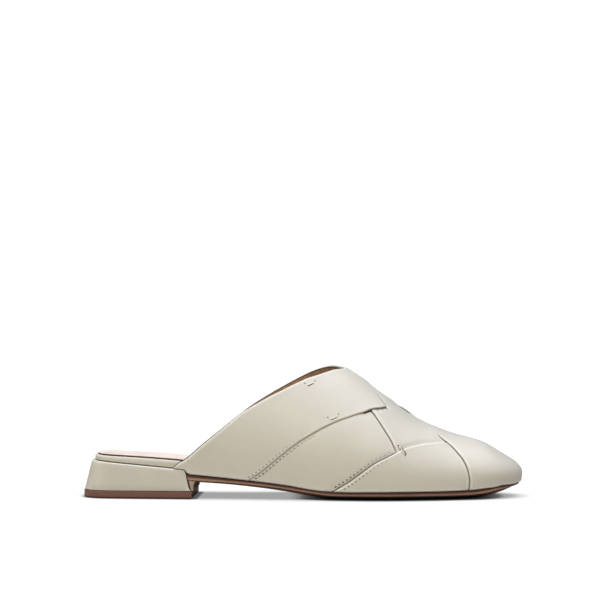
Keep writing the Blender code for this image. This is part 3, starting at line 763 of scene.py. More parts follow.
rear_rows = [row_beside(rear, REAR_GAP, -32.0, 5.0), row_beside(rear, -REAR_GAP, -29.5, 6.6)]
front_rows = [row_beside(front, FRONT_GAP, 18.4, 50.7), row_beside(front, -FRONT_GAP, 21.8, 52.5)]
inner_rows = [
    row_beside(inner_rear, -REAR_GAP, -31.5, 3.0), row_beside(inner_rear, REAR_GAP, -28.5, 4.0),
    row_beside(inner_front, FRONT_GAP, 19.0, 52.0), row_beside(inner_front, -FRONT_GAP, 17.0, 51.0),
]
print("stitch rows:", len(rear_rows + front_rows + inner_rows))

# %% The seven bands
REAR_LEVEL, CROSS_LEVEL, MIDDLE_LEVEL = 0.4, 0.0, -0.3   # mm of each face over the last
FRONT_LEVEL, INNER_FRONT_LEVEL, CAP_LEVEL = 0.3, 0.0, 0.65

# stretches where painted shadow darkens the gaps between bands; TIP_SLIT also raises the rear band and lowers
# the middle band
TIP_SLIT = between(rear, 36, 49)
TIP_GAP = between(rear, 34.5, 39.8)
END_HIGH, END_LOW = between(band_end, 30, 41), between(band_end, 41, 47.3)
RIDGE_SLIT = between(inner_rear, 54.5, 60.5)
RIDGE_HUMP = np.array([(58.0, -1.0), (62.0, -1.5)])
RIDGE_HOLLOW = np.array([(41.0, 1.0), (44.0, 1.0)])
CAP_TOP = cap_edge[(cap_edge[:, 1] > -15.6) & (cap_edge[:, 1] < 14)]

rear_band = lay(
    "rear_band", rear_region, REAR_LEVEL, rows=rear_rows[:1], lifts=[(TIP_SLIT, 5.0, 0.25)],
    slit_shadows=[(END_HIGH, 2.0, 0.4), (END_LOW, 2.1, 1.2), (TIP_SLIT, 0.4, 0.8)],
)
cross_band = lay(
    "cross_band", cross_region, CROSS_LEVEL,
    covers=[(rear_region, 0.75, 1.2, 0.7), (front_region, 0.85, 0.3, 0.4), (cap_region, 0.6, 1.9, 1.0)],
    seams=[band_end, cap_edge, front[front[:, 0] > 55]], rows=inner_rows[:1],
    lifts=[(RIDGE_HOLLOW, 4.0, -1.1), (CAP_TOP, 6.0, 0.6)], fades=[(CAP_TOP, 3.2)],
)
middle_band = lay(
    "middle_band", middle_region, MIDDLE_LEVEL,
    covers=[(rear_region, 0.35, 0.6, 0.30), (cross_region, 0.85, 1.6, 0.75), (front_region, 0.7, 2.0, 0.8)],
    seams=[rear, cross_rear, front], rows=[rear_rows[1], front_rows[0]],
    lifts=[(TIP_SLIT, 3.0, -0.45)], slit_shadows=[(TIP_GAP, 0.9, 2.7)],
)
front_band = lay(
    "front_band", front_region, FRONT_LEVEL, covers=[(cap_region, 0.8, 1.5, 0.9)], seams=[cap_edge],
    rows=front_rows[1:],
)
inner_middle = lay(
    "inner_middle_band", inner_middle_region, MIDDLE_LEVEL,
    covers=[
        (cross_region, 0.85, 1.2, 0.8), (inner_front_region, 0.85, 1.2, 0.8), (cap_region, 0.25, 1.0, 0.8),
    ],
    seams=[inner_rear, inner_front], rows=[inner_rows[1], inner_rows[3]],
    lifts=[(RIDGE_HUMP, 4.0, 0.9)], slit_shadows=[(RIDGE_SLIT, 3.2, 1.7)],
)
inner_front_band = lay(
    "inner_front_band", inner_front_region, INNER_FRONT_LEVEL, covers=[(cap_region, 0.5, 1.2, 0.8)],
    seams=[cap_edge], rows=inner_rows[2:3],
)
toe_cap = lay("toe_cap", cap_region, CAP_LEVEL, fades=[(CAP_TOP, 3.2)])
bands = [rear_band, cross_band, middle_band, front_band, inner_middle, inner_front_band, toe_cap]

# %% [markdown]
# ## Lining
#
# Inside the bands is one smooth tan lining. Its cut edge stands a hair above the folded leather at the
# collar and is dyed dark brown, which draws the thin dark line along the top of the shoe. A dark strip of
# its own could do that, but a dyed edge on the lining is what the real shoe has.

# %% The lining
LINING_PROUD = 0.5          # mm that the lining stands above the collar
EVERYWHERE = np.array([(-300, -300), (300, -300), (300, 300), (-300, 300)], float)


def lay_lining():
    """The lining: one shell inside all the bands, with its collar edge dyed."""
    proud = UPPER.copy()
    proud[-len(collar):] = shifted(collar, LINING_PROUD)[::-1]
    flat, triangles, rim = cut(EVERYWHERE, proud)
    base = on_last(flat)
    edge = distance(base, base[rim[:, 0]], base[rim[:, 1]])
    at_collar = to_line(base, shifted(collar, LINING_PROUD))
    roll = np.clip(edge / 0.35, 0, 1)
    face = above_last(flat, LINING_FACE - 0.2 * (1 - roll) ** 2)
    back = above_last(flat, LINING_BACK + 0.2 * (1 - roll) ** 2)
    foot = on_feather(flat)
    for side in (face, back):
        side[foot, 2] = upper_foot(side[foot, 0]) + 0.05
    dyed_outside = 1 - ease(1.0, 1.6, at_collar)
    dyed_inside = 1 - ease(0.25, 0.7, at_collar)
    return solid("lining", face, back, triangles, rim, (
        ("cut_edge", np.concatenate([dyed_outside, dyed_inside])), ("painted_shade", np.zeros(2 * len(flat))),
    ))


lining = lay_lining()

# %% [markdown]
# ## Sole, heel and insole
#
# The hard parts are stacks of rings: each ring is the shoe's outline from above, drawn in a little, at its
# own height. That gives every edge its own rounding and lets the sole rise into the arch. Each ring also
# carries a painted value, so that a material can colour the sole's edge in bands.

# %% Plans and stacks
WALL_INSET = 3.0            # from the upper's feather line to the insole's edge
LIFT_HEIGHT = 4.2
LIFT_BACK, LIFT_FRONT = -130.0, -65.0
BLOCK_FRONT, BLOCK_SHOULDER = -65.7, -68.4   # front of the heel block at its foot and at its top
BLOCK_CORNER = -69.3        # its top's front corner is bevelled from here,
BLOCK_BEVEL = 2.6           # and drops this much
BLOCK_FOOT = LIFT_HEIGHT + CLEARANCE
BREAST_TOP = 13.6           # height at which the sole meets the heel block's shoulder
SOCK = 0.75                 # thickness of the sock
FLAP_INSET = 1.2            # the flap stops this far inside the sole's sides


def flat_shifted(line, distance):
    """A parallel line on the floor plan, to the left for a positive distance."""
    way = np.gradient(line, axis=0)
    way /= np.linalg.norm(way, axis=1)[:, None]
    return line + distance * np.stack([-way[:, 1], way[:, 0]], 1)


def seat_steps(count):
    """Corner of the seat, as shares of its length and width from the back to the side."""
    power = 2 / SEAT_SQUARENESS
    return [(cos(a) ** power, sin(a) ** power) for a in np.linspace(0, pi / 2, count)]


def plan(inset, start=None, back=HEEL_BACK):
    """The shoe's outline from above, drawn in by inset: outer and inner side, each from back to toe tip."""
    both = []
    for side, half in ((-1, "outer"), (1, "inner")):
        rows = []
        if start is None:
            for forward, aside in seat_steps(25)[:-1]:
                x = SEAT_PIVOT + (back - SEAT_PIVOT) * forward
                rows.append((x, side * aside * smooth(LAST, half, x)))
            middle = np.sort([*np.linspace(SEAT_PIVOT, TOE_PIVOT, 90), BLOCK_CORNER, BLOCK_SHOULDER])
        else:
            middle = np.linspace(start, TOE_PIVOT, 90)
        rows += [(x, side * smooth(LAST, half, x)) for x in middle]
        rows += [tuple(toe_point(turn, side)[:2]) for turn in np.linspace(pi / 2, 0, 30)[1:]]
        line = flat_shifted(np.array(rows), -side * inset)
        line[-1] = (TOE_TIP - inset, TOE_Y)
        if start is None:
            line[0] = (back + inset, 0)
        else:
            line[0, 0] = start
        both.append(line)
    return both


def heel_plan(back, front, spread, inset=0.0):
    """The seat's outline from above, stretched to run from back to front and made wider or narrower."""
    both = []
    for side, half in ((-1, "outer"), (1, "inner")):
        rows = []
        for forward, aside in seat_steps(25):
            x = SEAT_PIVOT + (HEEL_BACK - SEAT_PIVOT) * forward
            rows.append((x, side * spread * aside * smooth(LAST, half, x)))
        stations = np.append(np.linspace(SEAT_PIVOT, BLOCK_CORNER, 12)[1:], BLOCK_SHOULDER)
        rows += [(x, side * spread * smooth(LAST, half, x)) for x in stations]
        line = np.array(rows)
        line[:, 0] = back + (line[:, 0] - HEEL_BACK) * (front - back) / (BLOCK_SHOULDER - HEEL_BACK)
        if inset:
            line = flat_shifted(line, -side * inset)
            line[0] = (back + inset, 0)
            line[-1, 0] = front - inset
        both.append(line)
    return both


def stack(name, rings):
    """A closed solid through rings from the bottom up: outer and inner side, height at each x, paint."""
    points, polygons, paint = [], [], []
    count = len(rings[0][0])
    for outer, inner, height, value in rings:
        for side in (outer, inner):
            points += [(x, y, float(height(x))) for x, y in side]
        paint += [value] * (2 * count)
    for k in range(len(rings) - 1):
        low, high = k * 2 * count, (k + 1) * 2 * count
        order = [*range(count), *range(2 * count - 1, count - 1, -1)]
        for i, j in zip(order, order[1:] + order[:1]):
            polygons.append((low + i, low + j, high + j, high + i))
    for k in (0, len(rings) - 1):
        at = k * 2 * count
        polygons += [(at + i, at + i + 1, at + count + i + 1, at + count + i) for i in range(count - 1)]
    return as_piece(name, points, polygons, 32, [("ring", paint)], merge=True)


def level(z):
    """The same height everywhere."""
    return lambda x: z


def raised(height, lift):
    """A height that follows another one, a little above it."""
    return lambda x: height(x) + lift


def mixed(low, high, share):
    """A height between two others."""
    return lambda x: (1 - share) * low(x) + share * high(x)

# %% The sole
def sole_top(x):
    """Height of the sole's upper face, which the upper stands on."""
    return smooth(LAST, "feather", x) - CLEARANCE


def sole_bottom(x):
    """Height of the tread, with the arch and the toe spring."""
    return smooth(SOLE, "underside", x)


def sole_edge(x):
    """Height of the bevel's upper end."""
    return sole_bottom(x) + smooth(SOLE, "edge_lift", x)


def breast(z):
    """Where the sole starts, just in front of the heel block's sloping front."""
    share = np.clip((z - BLOCK_FOOT) / (BREAST_TOP - BLOCK_FOOT), 0, 1)
    return BLOCK_FRONT + share * (BLOCK_SHOULDER - BLOCK_FRONT) + 1.3 * CLEARANCE


SOLE_RINGS = (              # inset, share of the way up to the bevel's end, and from there to the top, paint
    (14, 0, 0, 0), (11, 0, 0, 0), (8, 0.15, 0, 0), (6, 0.4, 0, 0), (4.2, 0.66, 0, 0), (2.8, 0.84, 0, 0.02),
    (1.9, 0.93, 0, 0.05), (1.35, 0.99, 0, 0.1), (1.0, 1, 0.1, 0.2), (0.75, 1, 0.25, 0.35),
    (0.6, 1, 0.42, 0.5), (0.5, 1, 0.6, 0.65), (0.5, 1, 0.74, 0.75), (0.62, 1, 0.82, 0.83),
    (0.5, 1, 0.9, 0.9), (0.7, 1, 0.97, 1), (1.2, 1, 1, 1), (3.0, 1, 1, 1),
)


def build_sole():
    """The sole: tread, bevel, and an edge with a groove under its top rib."""
    rings = []
    for inset, below, above, value in SOLE_RINGS:
        def height(x, below=below, above=above):
            low, corner, high = sole_bottom(x), sole_edge(x), sole_top(x)
            return low + below * (corner - low) + above * (high - corner)
        rings.append((*plan(inset, breast(height(BLOCK_SHOULDER))), height, value))
    return stack("sole", rings)


def build_flap():
    """The leather of the sole that turns down the front of the heel."""
    back = BLOCK_FRONT + CLEARANCE
    profile = (
        (breast(12.2) + 0.1, 12.2), (breast(9) + 0.05, 9.0), (back, BLOCK_FOOT),
        (back + 0.2, BLOCK_FOOT - 0.05), (back + 1.15, BLOCK_FOOT), (back + 1.3, BLOCK_FOOT + 0.2),
        (back + 1.2, 6.4), (back + 1.25, 7.8), (back + 1.9, 9.2), (back + 2.8, 10.2), (back + 4.4, 11.0),
    )
    mesh = bmesh.new()
    sides = []
    wide = (FLAP_INSET - smooth(LAST, "outer", back), smooth(LAST, "inner", back) - FLAP_INSET)
    for y in np.linspace(*wide, 12):
        sides.append([mesh.verts.new(p) for p in in_metres([(x, y, z) for x, z in profile])])
    mesh.faces.new(sides[0])
    mesh.faces.new(sides[-1])
    for a, b in zip(sides, sides[1:]):
        for i in range(len(profile)):
            j = (i + 1) % len(profile)
            mesh.faces.new((a[i], a[j], b[j], b[i]))
    bmesh.ops.triangulate(mesh, faces=mesh.faces)
    bmesh.ops.recalc_face_normals(mesh, faces=mesh.faces)
    data = bpy.data.meshes.new("heel_flap")
    mesh.to_mesh(data)
    mesh.free()
    data.attributes.new("ring", "FLOAT", "POINT").data.foreach_set("value", [0.6] * len(data.vertices))
    data.shade_smooth()
    data.set_sharp_from_angle(angle=radians(50))
    flap = bpy.data.objects.new("heel_flap", data)
    scene.collection.objects.link(flap)
    return flap


sole, flap = build_sole(), build_flap()

# %% Insole and sock
def insole_bottom(x):
    """Height of the insole's underside: on the heel block, then on the sole."""
    return (heel_top(x) if x < (BLOCK_CORNER + BLOCK_SHOULDER) / 2 else sole_top(x)) + CLEARANCE


def insole_top(x):
    """Height of the insole's upper face."""
    return smooth(INSOLE, "top", x)


def insole_plan(inset):
    """The insole's outline, drawn in from the upper's inside by inset."""
    return plan(WALL_INSET + inset, None, INSOLE_BACK)


def build_insole():
    """The insole with its wrapped edge, and the thin leather sock on it."""
    edge = stack("wrapped_insole", [(*insole_plan(inset), height, value) for inset, height, value in (
        (4.0, insole_bottom, 0), (0.7, insole_bottom, 0), (0.2, raised(insole_bottom, 0.15), 0),
        (0, raised(insole_bottom, 0.6), 0.2), (-0.1, mixed(insole_bottom, insole_top, 0.5), 0.5),
        (0, raised(insole_top, -0.8), 0.8), (0.25, raised(insole_top, -0.3), 1),
        (0.7, raised(insole_top, -0.05), 1), (1.3, insole_top, 1), (4.5, insole_top, 1),
    )])
    foot = raised(insole_top, CLEARANCE)
    top = raised(insole_top, CLEARANCE + SOCK)
    cover = stack("sock", [(*insole_plan(inset), height, value) for inset, height, value in (
        (5.0, foot, 1), (1.7, foot, 1), (1.5, raised(foot, 0.2), 1), (1.5, raised(top, -0.3), 1),
        (1.65, raised(top, -0.1), 0.85), (2.0, raised(top, -0.02), 0.3), (2.6, top, 0),
        (5, raised(top, -0.05), 0), (9, raised(top, -0.15), 0),
    )])
    return edge, cover


insole, sock = build_insole()

# %% Heel block and top lift
def block_top(x):
    """Height of the heel block's top, with its bevelled front corner."""
    drop = (x - BLOCK_CORNER) / (BLOCK_SHOULDER - BLOCK_CORNER)
    return heel_top(x) if x <= BLOCK_CORNER else heel_top(BLOCK_CORNER) - BLOCK_BEVEL * drop


def build_heel():
    """The leather-covered block, a little narrower at its top, and the top lift that it stands on."""
    low = (LIFT_BACK + 0.4, BLOCK_FRONT, 1.045)        # back, front and width at the foot,
    high = (HEEL_BACK - 0.2, BLOCK_SHOULDER, 1.0)      # and at the top

    def ring(share, inset, height, value):
        back, front, spread = (a + (b - a) * share for a, b in zip(low, high))
        return (*heel_plan(back, front, spread, inset), height, value)

    foot = level(BLOCK_FOOT)
    block = stack("heel_cover", [
        ring(0, 4.0, foot, 0), ring(0, 0.6, foot, 0), ring(0, 0.15, level(BLOCK_FOOT + 0.1), 0.05),
        ring(0, 0.0, level(BLOCK_FOOT + 0.5), 0.1), ring(0.25, 0, mixed(foot, block_top, 0.25), 0.25),
        ring(0.5, 0, mixed(foot, block_top, 0.5), 0.5), ring(0.75, 0, mixed(foot, block_top, 0.75), 0.75),
        ring(0.95, 0, mixed(foot, block_top, 0.93), 0.93), ring(1, 0.12, raised(block_top, -0.35), 0.97),
        ring(1, 0.4, raised(block_top, -0.1), 1), ring(1, 0.9, block_top, 1), ring(1, 4.0, block_top, 1),
    ])
    lift = stack("top_lift_piece", [
        (*heel_plan(LIFT_BACK, LIFT_FRONT, spread, inset), level(z), value) for spread, inset, z, value in (
            (1.055, 4.0, 0.0, 0), (1.055, 0.5, 0.0, 0), (1.055, 0.12, 0.12, 0.1), (1.055, 0, 0.5, 0.2),
            (1.053, 0, 2.2, 0.5), (1.05, 0, LIFT_HEIGHT - 0.3, 0.9), (1.05, 0.2, LIFT_HEIGHT - 0.05, 1),
            (1.05, 0.5, LIFT_HEIGHT, 1), (1.05, 4.0, LIFT_HEIGHT, 1),
        )
    ])
    return block, lift


heel_cover, lift = build_heel()

# %% [markdown]
# ## Node groups
#
# Three effects serve several finishes, so each is a node group, built once. "hide" is the leather itself:
# soft cloudy tone, fine grain and a few pores. "dyed edge and painted light" lays a darker dye where the
# mesh carries a cut edge, painted shade where it carries painted shade beside seams and in gaps, and a
# painted highlight along rolled edges. "scuffed" breaks up a gloss. Painting pictures would fix the leather
# to one pattern, but nodes follow any piece.

# %% Helpers for node groups
def new_group(name, inputs, outputs):
    """An empty node group with named inputs and outputs."""
    tree = bpy.data.node_groups.new(name, "ShaderNodeTree")
    for label, (kind, value) in inputs.items():
        socket = tree.interface.new_socket(label, in_out="INPUT", socket_type=kind)
        if value is not None:
            socket.default_value = value
    for label, kind in outputs.items():
        tree.interface.new_socket(label, in_out="OUTPUT", socket_type=kind)
    return tree, tree.nodes.new("NodeGroupInput").outputs, tree.nodes.new("NodeGroupOutput").inputs


FLOAT, COLOUR, VECTOR = "NodeSocketFloat", "NodeSocketColor", "NodeSocketVector"

# %% Node group: hide
def build_hide():
    """Leather: a cloudy tone, and the height of its grain. Sizes are waves per metre."""
    tree, get, put = new_group(
        "hide",
        {
            "Place": (VECTOR, None), "Cloud": (FLOAT, 45.0), "Grain": (FLOAT, 1500.0), "Pores": (FLOAT, 0.4),
            "Ripple": (FLOAT, 0.5),
        },
        {"Tone": FLOAT, "Height": FLOAT},
    )
    place = ("Vector", get["Place"])
    cloud = node(tree, "ShaderNodeTexNoise", [place, ("Scale", get["Cloud"]), ("Detail", 3.0)])
    cells = node(tree, "ShaderNodeTexVoronoi", [place, ("Scale", get["Grain"])], feature="SMOOTH_F1")
    fine_scale = maths(tree, "MULTIPLY", get["Grain"], 0.37)
    fine = node(tree, "ShaderNodeTexNoise", [place, ("Scale", fine_scale), ("Detail", 4.0)])
    wave_scale = maths(tree, "MULTIPLY", get["Cloud"], 1.7)
    wave = node(tree, "ShaderNodeTexNoise", [place, ("Scale", wave_scale), ("Detail", 1.0)])
    pore = maths(tree, "LESS_THAN", cells.outputs["Distance"], 0.12)
    grain = maths(tree, "MULTIPLY", cells.outputs["Distance"], 0.10)
    grain = maths(tree, "ADD", grain, maths(tree, "MULTIPLY", fine.outputs[0], 0.12))
    pits = maths(tree, "MULTIPLY", pore, maths(tree, "MULTIPLY", get["Pores"], 0.05))
    grain = maths(tree, "SUBTRACT", grain, pits)
    grain = maths(tree, "ADD", grain, maths(tree, "MULTIPLY", wave.outputs[0], get["Ripple"]))
    tree.links.new(cloud.outputs[0], put["Tone"])
    tree.links.new(grain, put["Height"])
    return tree


DEEP_SHADE = 1.6           # painted shade values above this turn almost black, as painted shadow in the deepest gaps
ALMOST_BLACK = (0.010, 0.007, 0.005, 1)


def build_dyed_edge_and_light():
    """Colour of a piece whose mesh says where it was cut and dyed (cut_edge), where a painted highlight lies
    along its rolled edges and seams (edge_highlight), and where painted shade lies beside seams and in gaps
    (painted_shade)."""
    tree, get, put = new_group(
        "dyed edge and painted light",
        {
            "Base": (COLOUR, (1, 1, 1, 1)), "Dye": (COLOUR, (0, 0, 0, 1)), "Shade": (COLOUR, (0, 0, 0, 1)),
            "Highlight": (COLOUR, (1, 1, 1, 1)), "Dye Strength": (FLOAT, 1.0), "Shade Strength": (FLOAT, 0.5),
        },
        {"Color": COLOUR, "Mask": FLOAT},
    )
    cut_mark, painted_shade_mark, highlight_mark = (
        node(tree, "ShaderNodeAttribute", attribute_name=name).outputs["Fac"]
        for name in ("cut_edge", "painted_shade", "edge_highlight")
    )
    # painted shade from the mesh's painted values, and almost black painted shadow where it runs deepest
    shade = maths(tree, "MULTIPLY", painted_shade_mark, get["Shade Strength"], clamp=True)
    dye = maths(tree, "MULTIPLY", cut_mark, get["Dye Strength"], clamp=True)
    deep = maths(tree, "SUBTRACT", painted_shade_mark, DEEP_SHADE, clamp=True)
    # painted highlight along rolled edges and beside seams
    highlighted = blend(tree, highlight_mark, get["Base"], get["Highlight"])
    shaded = blend(tree, deep, blend(tree, shade, highlighted, get["Shade"]), ALMOST_BLACK)
    tree.links.new(blend(tree, dye, shaded, get["Dye"]), put["Color"])
    tree.links.new(maths(tree, "MAXIMUM", shade, dye), put["Mask"])
    return tree


def build_scuffed():
    """Gloss that varies: roughness between two values by a fine and a broad cloud."""
    tree, get, put = new_group(
        "scuffed",
        {"Place": (VECTOR, None), "Size": (FLOAT, 120.0), "From": (FLOAT, 0.4), "To": (FLOAT, 0.5)},
        {"Roughness": FLOAT},
    )
    cloud = node(tree, "ShaderNodeTexNoise", [
        ("Vector", get["Place"]), ("Scale", get["Size"]), ("Detail", 5.0),
    ])
    spread = node(tree, "ShaderNodeMapRange", [
        ("Value", cloud.outputs[0]), ("From Min", 0.3), ("From Max", 0.7),
        ("To Min", get["From"]), ("To Max", get["To"]),
    ])
    tree.links.new(spread.outputs[0], put["Roughness"])
    return tree


HIDE, DYED_EDGE_AND_LIGHT, SCUFFED = build_hide(), build_dyed_edge_and_light(), build_scuffed()
print("node groups:", ", ".join(made.name for made in (HIDE, DYED_EDGE_AND_LIGHT, SCUFFED)))

# %% Leather finishes
def group(tree, which, inputs):
    """Outputs of a group node in a material."""
    return node(tree, "ShaderNodeGroup", inputs, node_tree=which).outputs


def new_material(name):
    """A new material, with its node tree, its shader and the place on the piece."""
    made = bpy.data.materials.new(name)
    made.use_nodes = True
    tree = made.node_tree
    return made, tree, tree.nodes["Principled BSDF"], node(tree, "ShaderNodeTexCoord").outputs["Object"]


def surface(tree, shader, place, hide, colour, gloss, relief):
    """Plug a colour, a gloss that varies and the hide's grain into a shader."""
    rough = group(tree, SCUFFED, [("Place", place), ("From", gloss[0]), ("To", gloss[1])])
    bump = node(tree, "ShaderNodeBump", [("Height", hide["Height"]), ("Strength", 1.0), ("Distance", relief)])
    tree.links.new(colour, shader.inputs["Base Color"])
    tree.links.new(rough["Roughness"], shader.inputs["Roughness"])
    tree.links.new(bump.outputs[0], shader.inputs["Normal"])


def leather(name, pale, deep, dye, shade, gloss, dye_strength=1.0, shade_strength=0.5, cloud=45.0,
            grain=1500.0, ripple=0.5, relief=0.0007, specular=0.5, highlighted=(0.97, 0.955, 0.90)):
    """A leather: two tones of one colour in soft clouds, grain, dyed cut edges, painted shade beside seams
    and in gaps, and painted highlights along rolled edges.
    """
    made, tree, shader, place = new_material(name)
    hide = group(tree, HIDE, [("Place", place), ("Cloud", cloud), ("Grain", grain), ("Ripple", ripple)])
    tone = node(tree, "ShaderNodeMapRange", [("Value", hide["Tone"]), ("From Min", 0.32), ("From Max", 0.68)])
    base = blend(tree, tone.outputs[0], (*deep, 1), (*pale, 1))
    dyed_and_painted = group(tree, DYED_EDGE_AND_LIGHT, [
        ("Base", base), ("Dye", (*dye, 1)), ("Shade", (*shade, 1)), ("Highlight", (*highlighted, 1)),
        ("Dye Strength", dye_strength), ("Shade Strength", shade_strength),
    ])
    surface(tree, shader, place, hide, dyed_and_painted["Color"], gloss, relief)
    dulled = maths(tree, "MULTIPLY", dyed_and_painted["Mask"], 0.8 * specular)
    tree.links.new(maths(tree, "SUBTRACT", specular, dulled), shader.inputs["Specular IOR Level"])
    return made


CREAM_PALE, CREAM_DEEP = (0.784, 0.757, 0.668), (0.754, 0.727, 0.638)
cream_leather = leather(
    "cream calf", CREAM_PALE, CREAM_DEEP, dye=(0.20, 0.15, 0.10), shade=(0.13, 0.10, 0.065),
    gloss=(0.38, 0.46), dye_strength=0.8, shade_strength=0.6, relief=0.0005,
)
lining_leather = leather(
    "tan lining", (0.64, 0.42, 0.26), (0.55, 0.35, 0.20), dye=(0.10, 0.055, 0.035), shade=(0.1, 0.05, 0.02),
    gloss=(0.55, 0.68), cloud=80.0, grain=1800.0,
)
print("two leathers for the upper")

# %% Finishes that follow the rings
# colour of the painted shade close to the floor
FLOOR_SHADE_COLOUR = (0.008, 0.004, 0.003, 1)


def ring_leather(name, stops, gloss, cloud_strength=0.12, relief=0.0005, grain=1500.0, specular=0.5,
                 floor_shade=0.0):
    """A finish whose colour follows the painted ring value, from the stops given as (value, colour). It can
    be painted darker towards the floor, as painted shade, from the height floor_shade down."""
    made, tree, shader, place = new_material(name)
    hide = group(tree, HIDE, [("Place", place), ("Cloud", 70.0), ("Grain", grain), ("Ripple", 0.3)])
    mark = node(tree, "ShaderNodeAttribute", attribute_name="ring").outputs["Fac"]
    ramp = node(tree, "ShaderNodeValToRGB", [(0, mark)])
    band = ramp.color_ramp.elements
    for i, (value, colour) in enumerate(stops):
        stop = band[i] if i < 2 else band.new(value)
        stop.position, stop.color = value, (*colour, 1)
    tone = maths(tree, "MULTIPLY", maths(tree, "SUBTRACT", hide["Tone"], 0.5), cloud_strength * 4)
    value = maths(tree, "ADD", tone, 1.0)
    colour = node(tree, "ShaderNodeHueSaturation", [("Color", ramp.outputs[0]), ("Value", value)]).outputs[0]
    if floor_shade:
        height = node(tree, "ShaderNodeSeparateXYZ", [("Vector", place)]).outputs["Z"]
        span = [("Value", height), ("From Min", 0.15 * floor_shade), ("From Max", floor_shade)]
        clear = node(tree, "ShaderNodeMapRange", span, interpolation_type="SMOOTHSTEP")
        colour = blend(tree, clear.outputs[0], FLOOR_SHADE_COLOUR, colour)
    surface(tree, shader, place, hide, colour, gloss, relief)
    shader.inputs["Specular IOR Level"].default_value = specular
    return made


SOLE_BROWN, SOLE_SHADE, SOLE_HIGHLIGHT = (0.165, 0.066, 0.044), (0.050, 0.016, 0.008), (0.64, 0.42, 0.33)
TREAD_BROWN = (0.30, 0.17, 0.12)
# The sole's edge is coloured in bands that paint light and shade: dark around the bevel's upper corner, in
# the groove under the top rib and along its top, as painted shade, and a pale band in the middle of the edge,
# as painted highlight. Close to the floor it is also painted darker, as painted shade.
sole_leather = ring_leather(
    "brown sole",
    [
        (0, TREAD_BROWN), (0.04, TREAD_BROWN), (0.07, SOLE_SHADE), (0.16, (0.10, 0.042, 0.026)),
        (0.28, (0.40, 0.24, 0.18)), (0.44, SOLE_HIGHLIGHT), (0.58, (0.36, 0.20, 0.15)), (0.70, SOLE_BROWN),
        (0.82, (0.10, 0.040, 0.024)), (0.9, (0.16, 0.066, 0.042)), (1.0, (0.12, 0.046, 0.028)),
    ],
    gloss=(0.42, 0.52), specular=0.25, floor_shade=0.0046,
)
LIFT_BROWN = (0.225, 0.112, 0.088)
# The lift's foot is painted dark, as painted shade where it meets the floor.
lift_rubber = ring_leather(
    "brown lift", [(0, SOLE_SHADE), (0.2, SOLE_SHADE), (0.3, LIFT_BROWN), (1.0, LIFT_BROWN)],
    gloss=(0.42, 0.52), cloud_strength=0.06, relief=0.0003, specular=0.3,
)
wrap_leather = ring_leather(
    "cream wrap",
    [
        (0, (0.14, 0.10, 0.07)), (0.06, (0.30, 0.26, 0.2)), (0.2, (0.66, 0.635, 0.555)),
        (0.5, (0.68, 0.655, 0.575)), (0.85, CREAM_PALE), (1, CREAM_PALE),
    ],
    gloss=(0.38, 0.46), cloud_strength=0.04,
)
# The block's sides are painted darker than the upper's cream, as painted shade under the insole's overhang; a
# thin band at its rounded foot and its top keep the full cream, and its underside is dark.
HEEL_CREAM_SHADED = (0.715, 0.678, 0.596)
heel_leather = ring_leather(
    "cream heel",
    [
        (0, (0.4, 0.33, 0.26)), (0.04, HEEL_CREAM_SHADED), (0.08, CREAM_PALE), (0.14, HEEL_CREAM_SHADED),
        (0.9, HEEL_CREAM_SHADED), (1, CREAM_PALE),
    ],
    gloss=(0.36, 0.45), cloud_strength=0.04,
)
# The flap is painted much paler than the sole's brown, as painted light that makes up for the little light
# that reaches the front of the heel.
FLAP_BROWN_BRIGHTENED = (0.55, 0.40, 0.33)
flap_leather = ring_leather(
    "brown flap", [(0, FLAP_BROWN_BRIGHTENED), (1, FLAP_BROWN_BRIGHTENED)], gloss=(0.85, 0.95), cloud_strength=0.06, specular=0.03,
)
sock_leather = ring_leather(
    "peach sock",
    [
        (0, (0.90, 0.79, 0.68)), (0.6, (0.88, 0.76, 0.64)), (0.85, (0.16, 0.055, 0.03)),
        (1, (0.12, 0.04, 0.025)),
    ],
    gloss=(0.55, 0.7), cloud_strength=0.08, grain=1900.0,
)
print("six finishes for the sole, the heel and the insole")

# %% Thread and holes
def plain(name, colour, rough, other):
    """Thread, or the painted shade of a hole: one colour, mottled towards another, with twisted fibres as
    relief.
    """
    made, tree, shader, place = new_material(name)
    noise = node(tree, "ShaderNodeTexNoise", [("Vector", place), ("Scale", 2500.0), ("Detail", 2.0)])
    speck = noise.outputs[0]
    bump = node(tree, "ShaderNodeBump", [("Height", speck), ("Strength", 0.6), ("Distance", 0.0001)])
    tree.links.new(blend(tree, speck, (*colour, 1), (*other, 1)), shader.inputs["Base Color"])
    tree.links.new(bump.outputs[0], shader.inputs["Normal"])
    shader.inputs["Roughness"].default_value = rough
    return made


thread = plain("cream thread", (0.96, 0.94, 0.88), 0.55, (0.88, 0.85, 0.78))
hole_shade = plain("stitch hole shade", (0.15, 0.115, 0.08), 0.9, (0.08, 0.06, 0.04))
print("finishes for", thread.name, "and", hole_shade.name)

# %% [markdown]
# ## Stitches
#
# Each seam is held by two rows of stitches. A stitch is a short stretch of thread between two holes, and
# each hole is a small dark bead between the stitches, as painted shade. One Geometry Nodes tree sets them
# out along a row: it turns the row into a curve, takes a point at every stitch and places a tapered bead
# along the curve. Modelling every stitch by hand would work, but then their pitch could not be changed in
# one place.

# %% The stitch tree
STITCH_PITCH, STITCH_LENGTH, THREAD = 2.5, 1.5, 0.6
# size of the dark beads that paint the shade in the stitch holes
HOLE_LENGTH, HOLE_WIDTH = 1.45, 0.62
THREAD_LIFT = 0.12          # how far a stitch lies above its holes


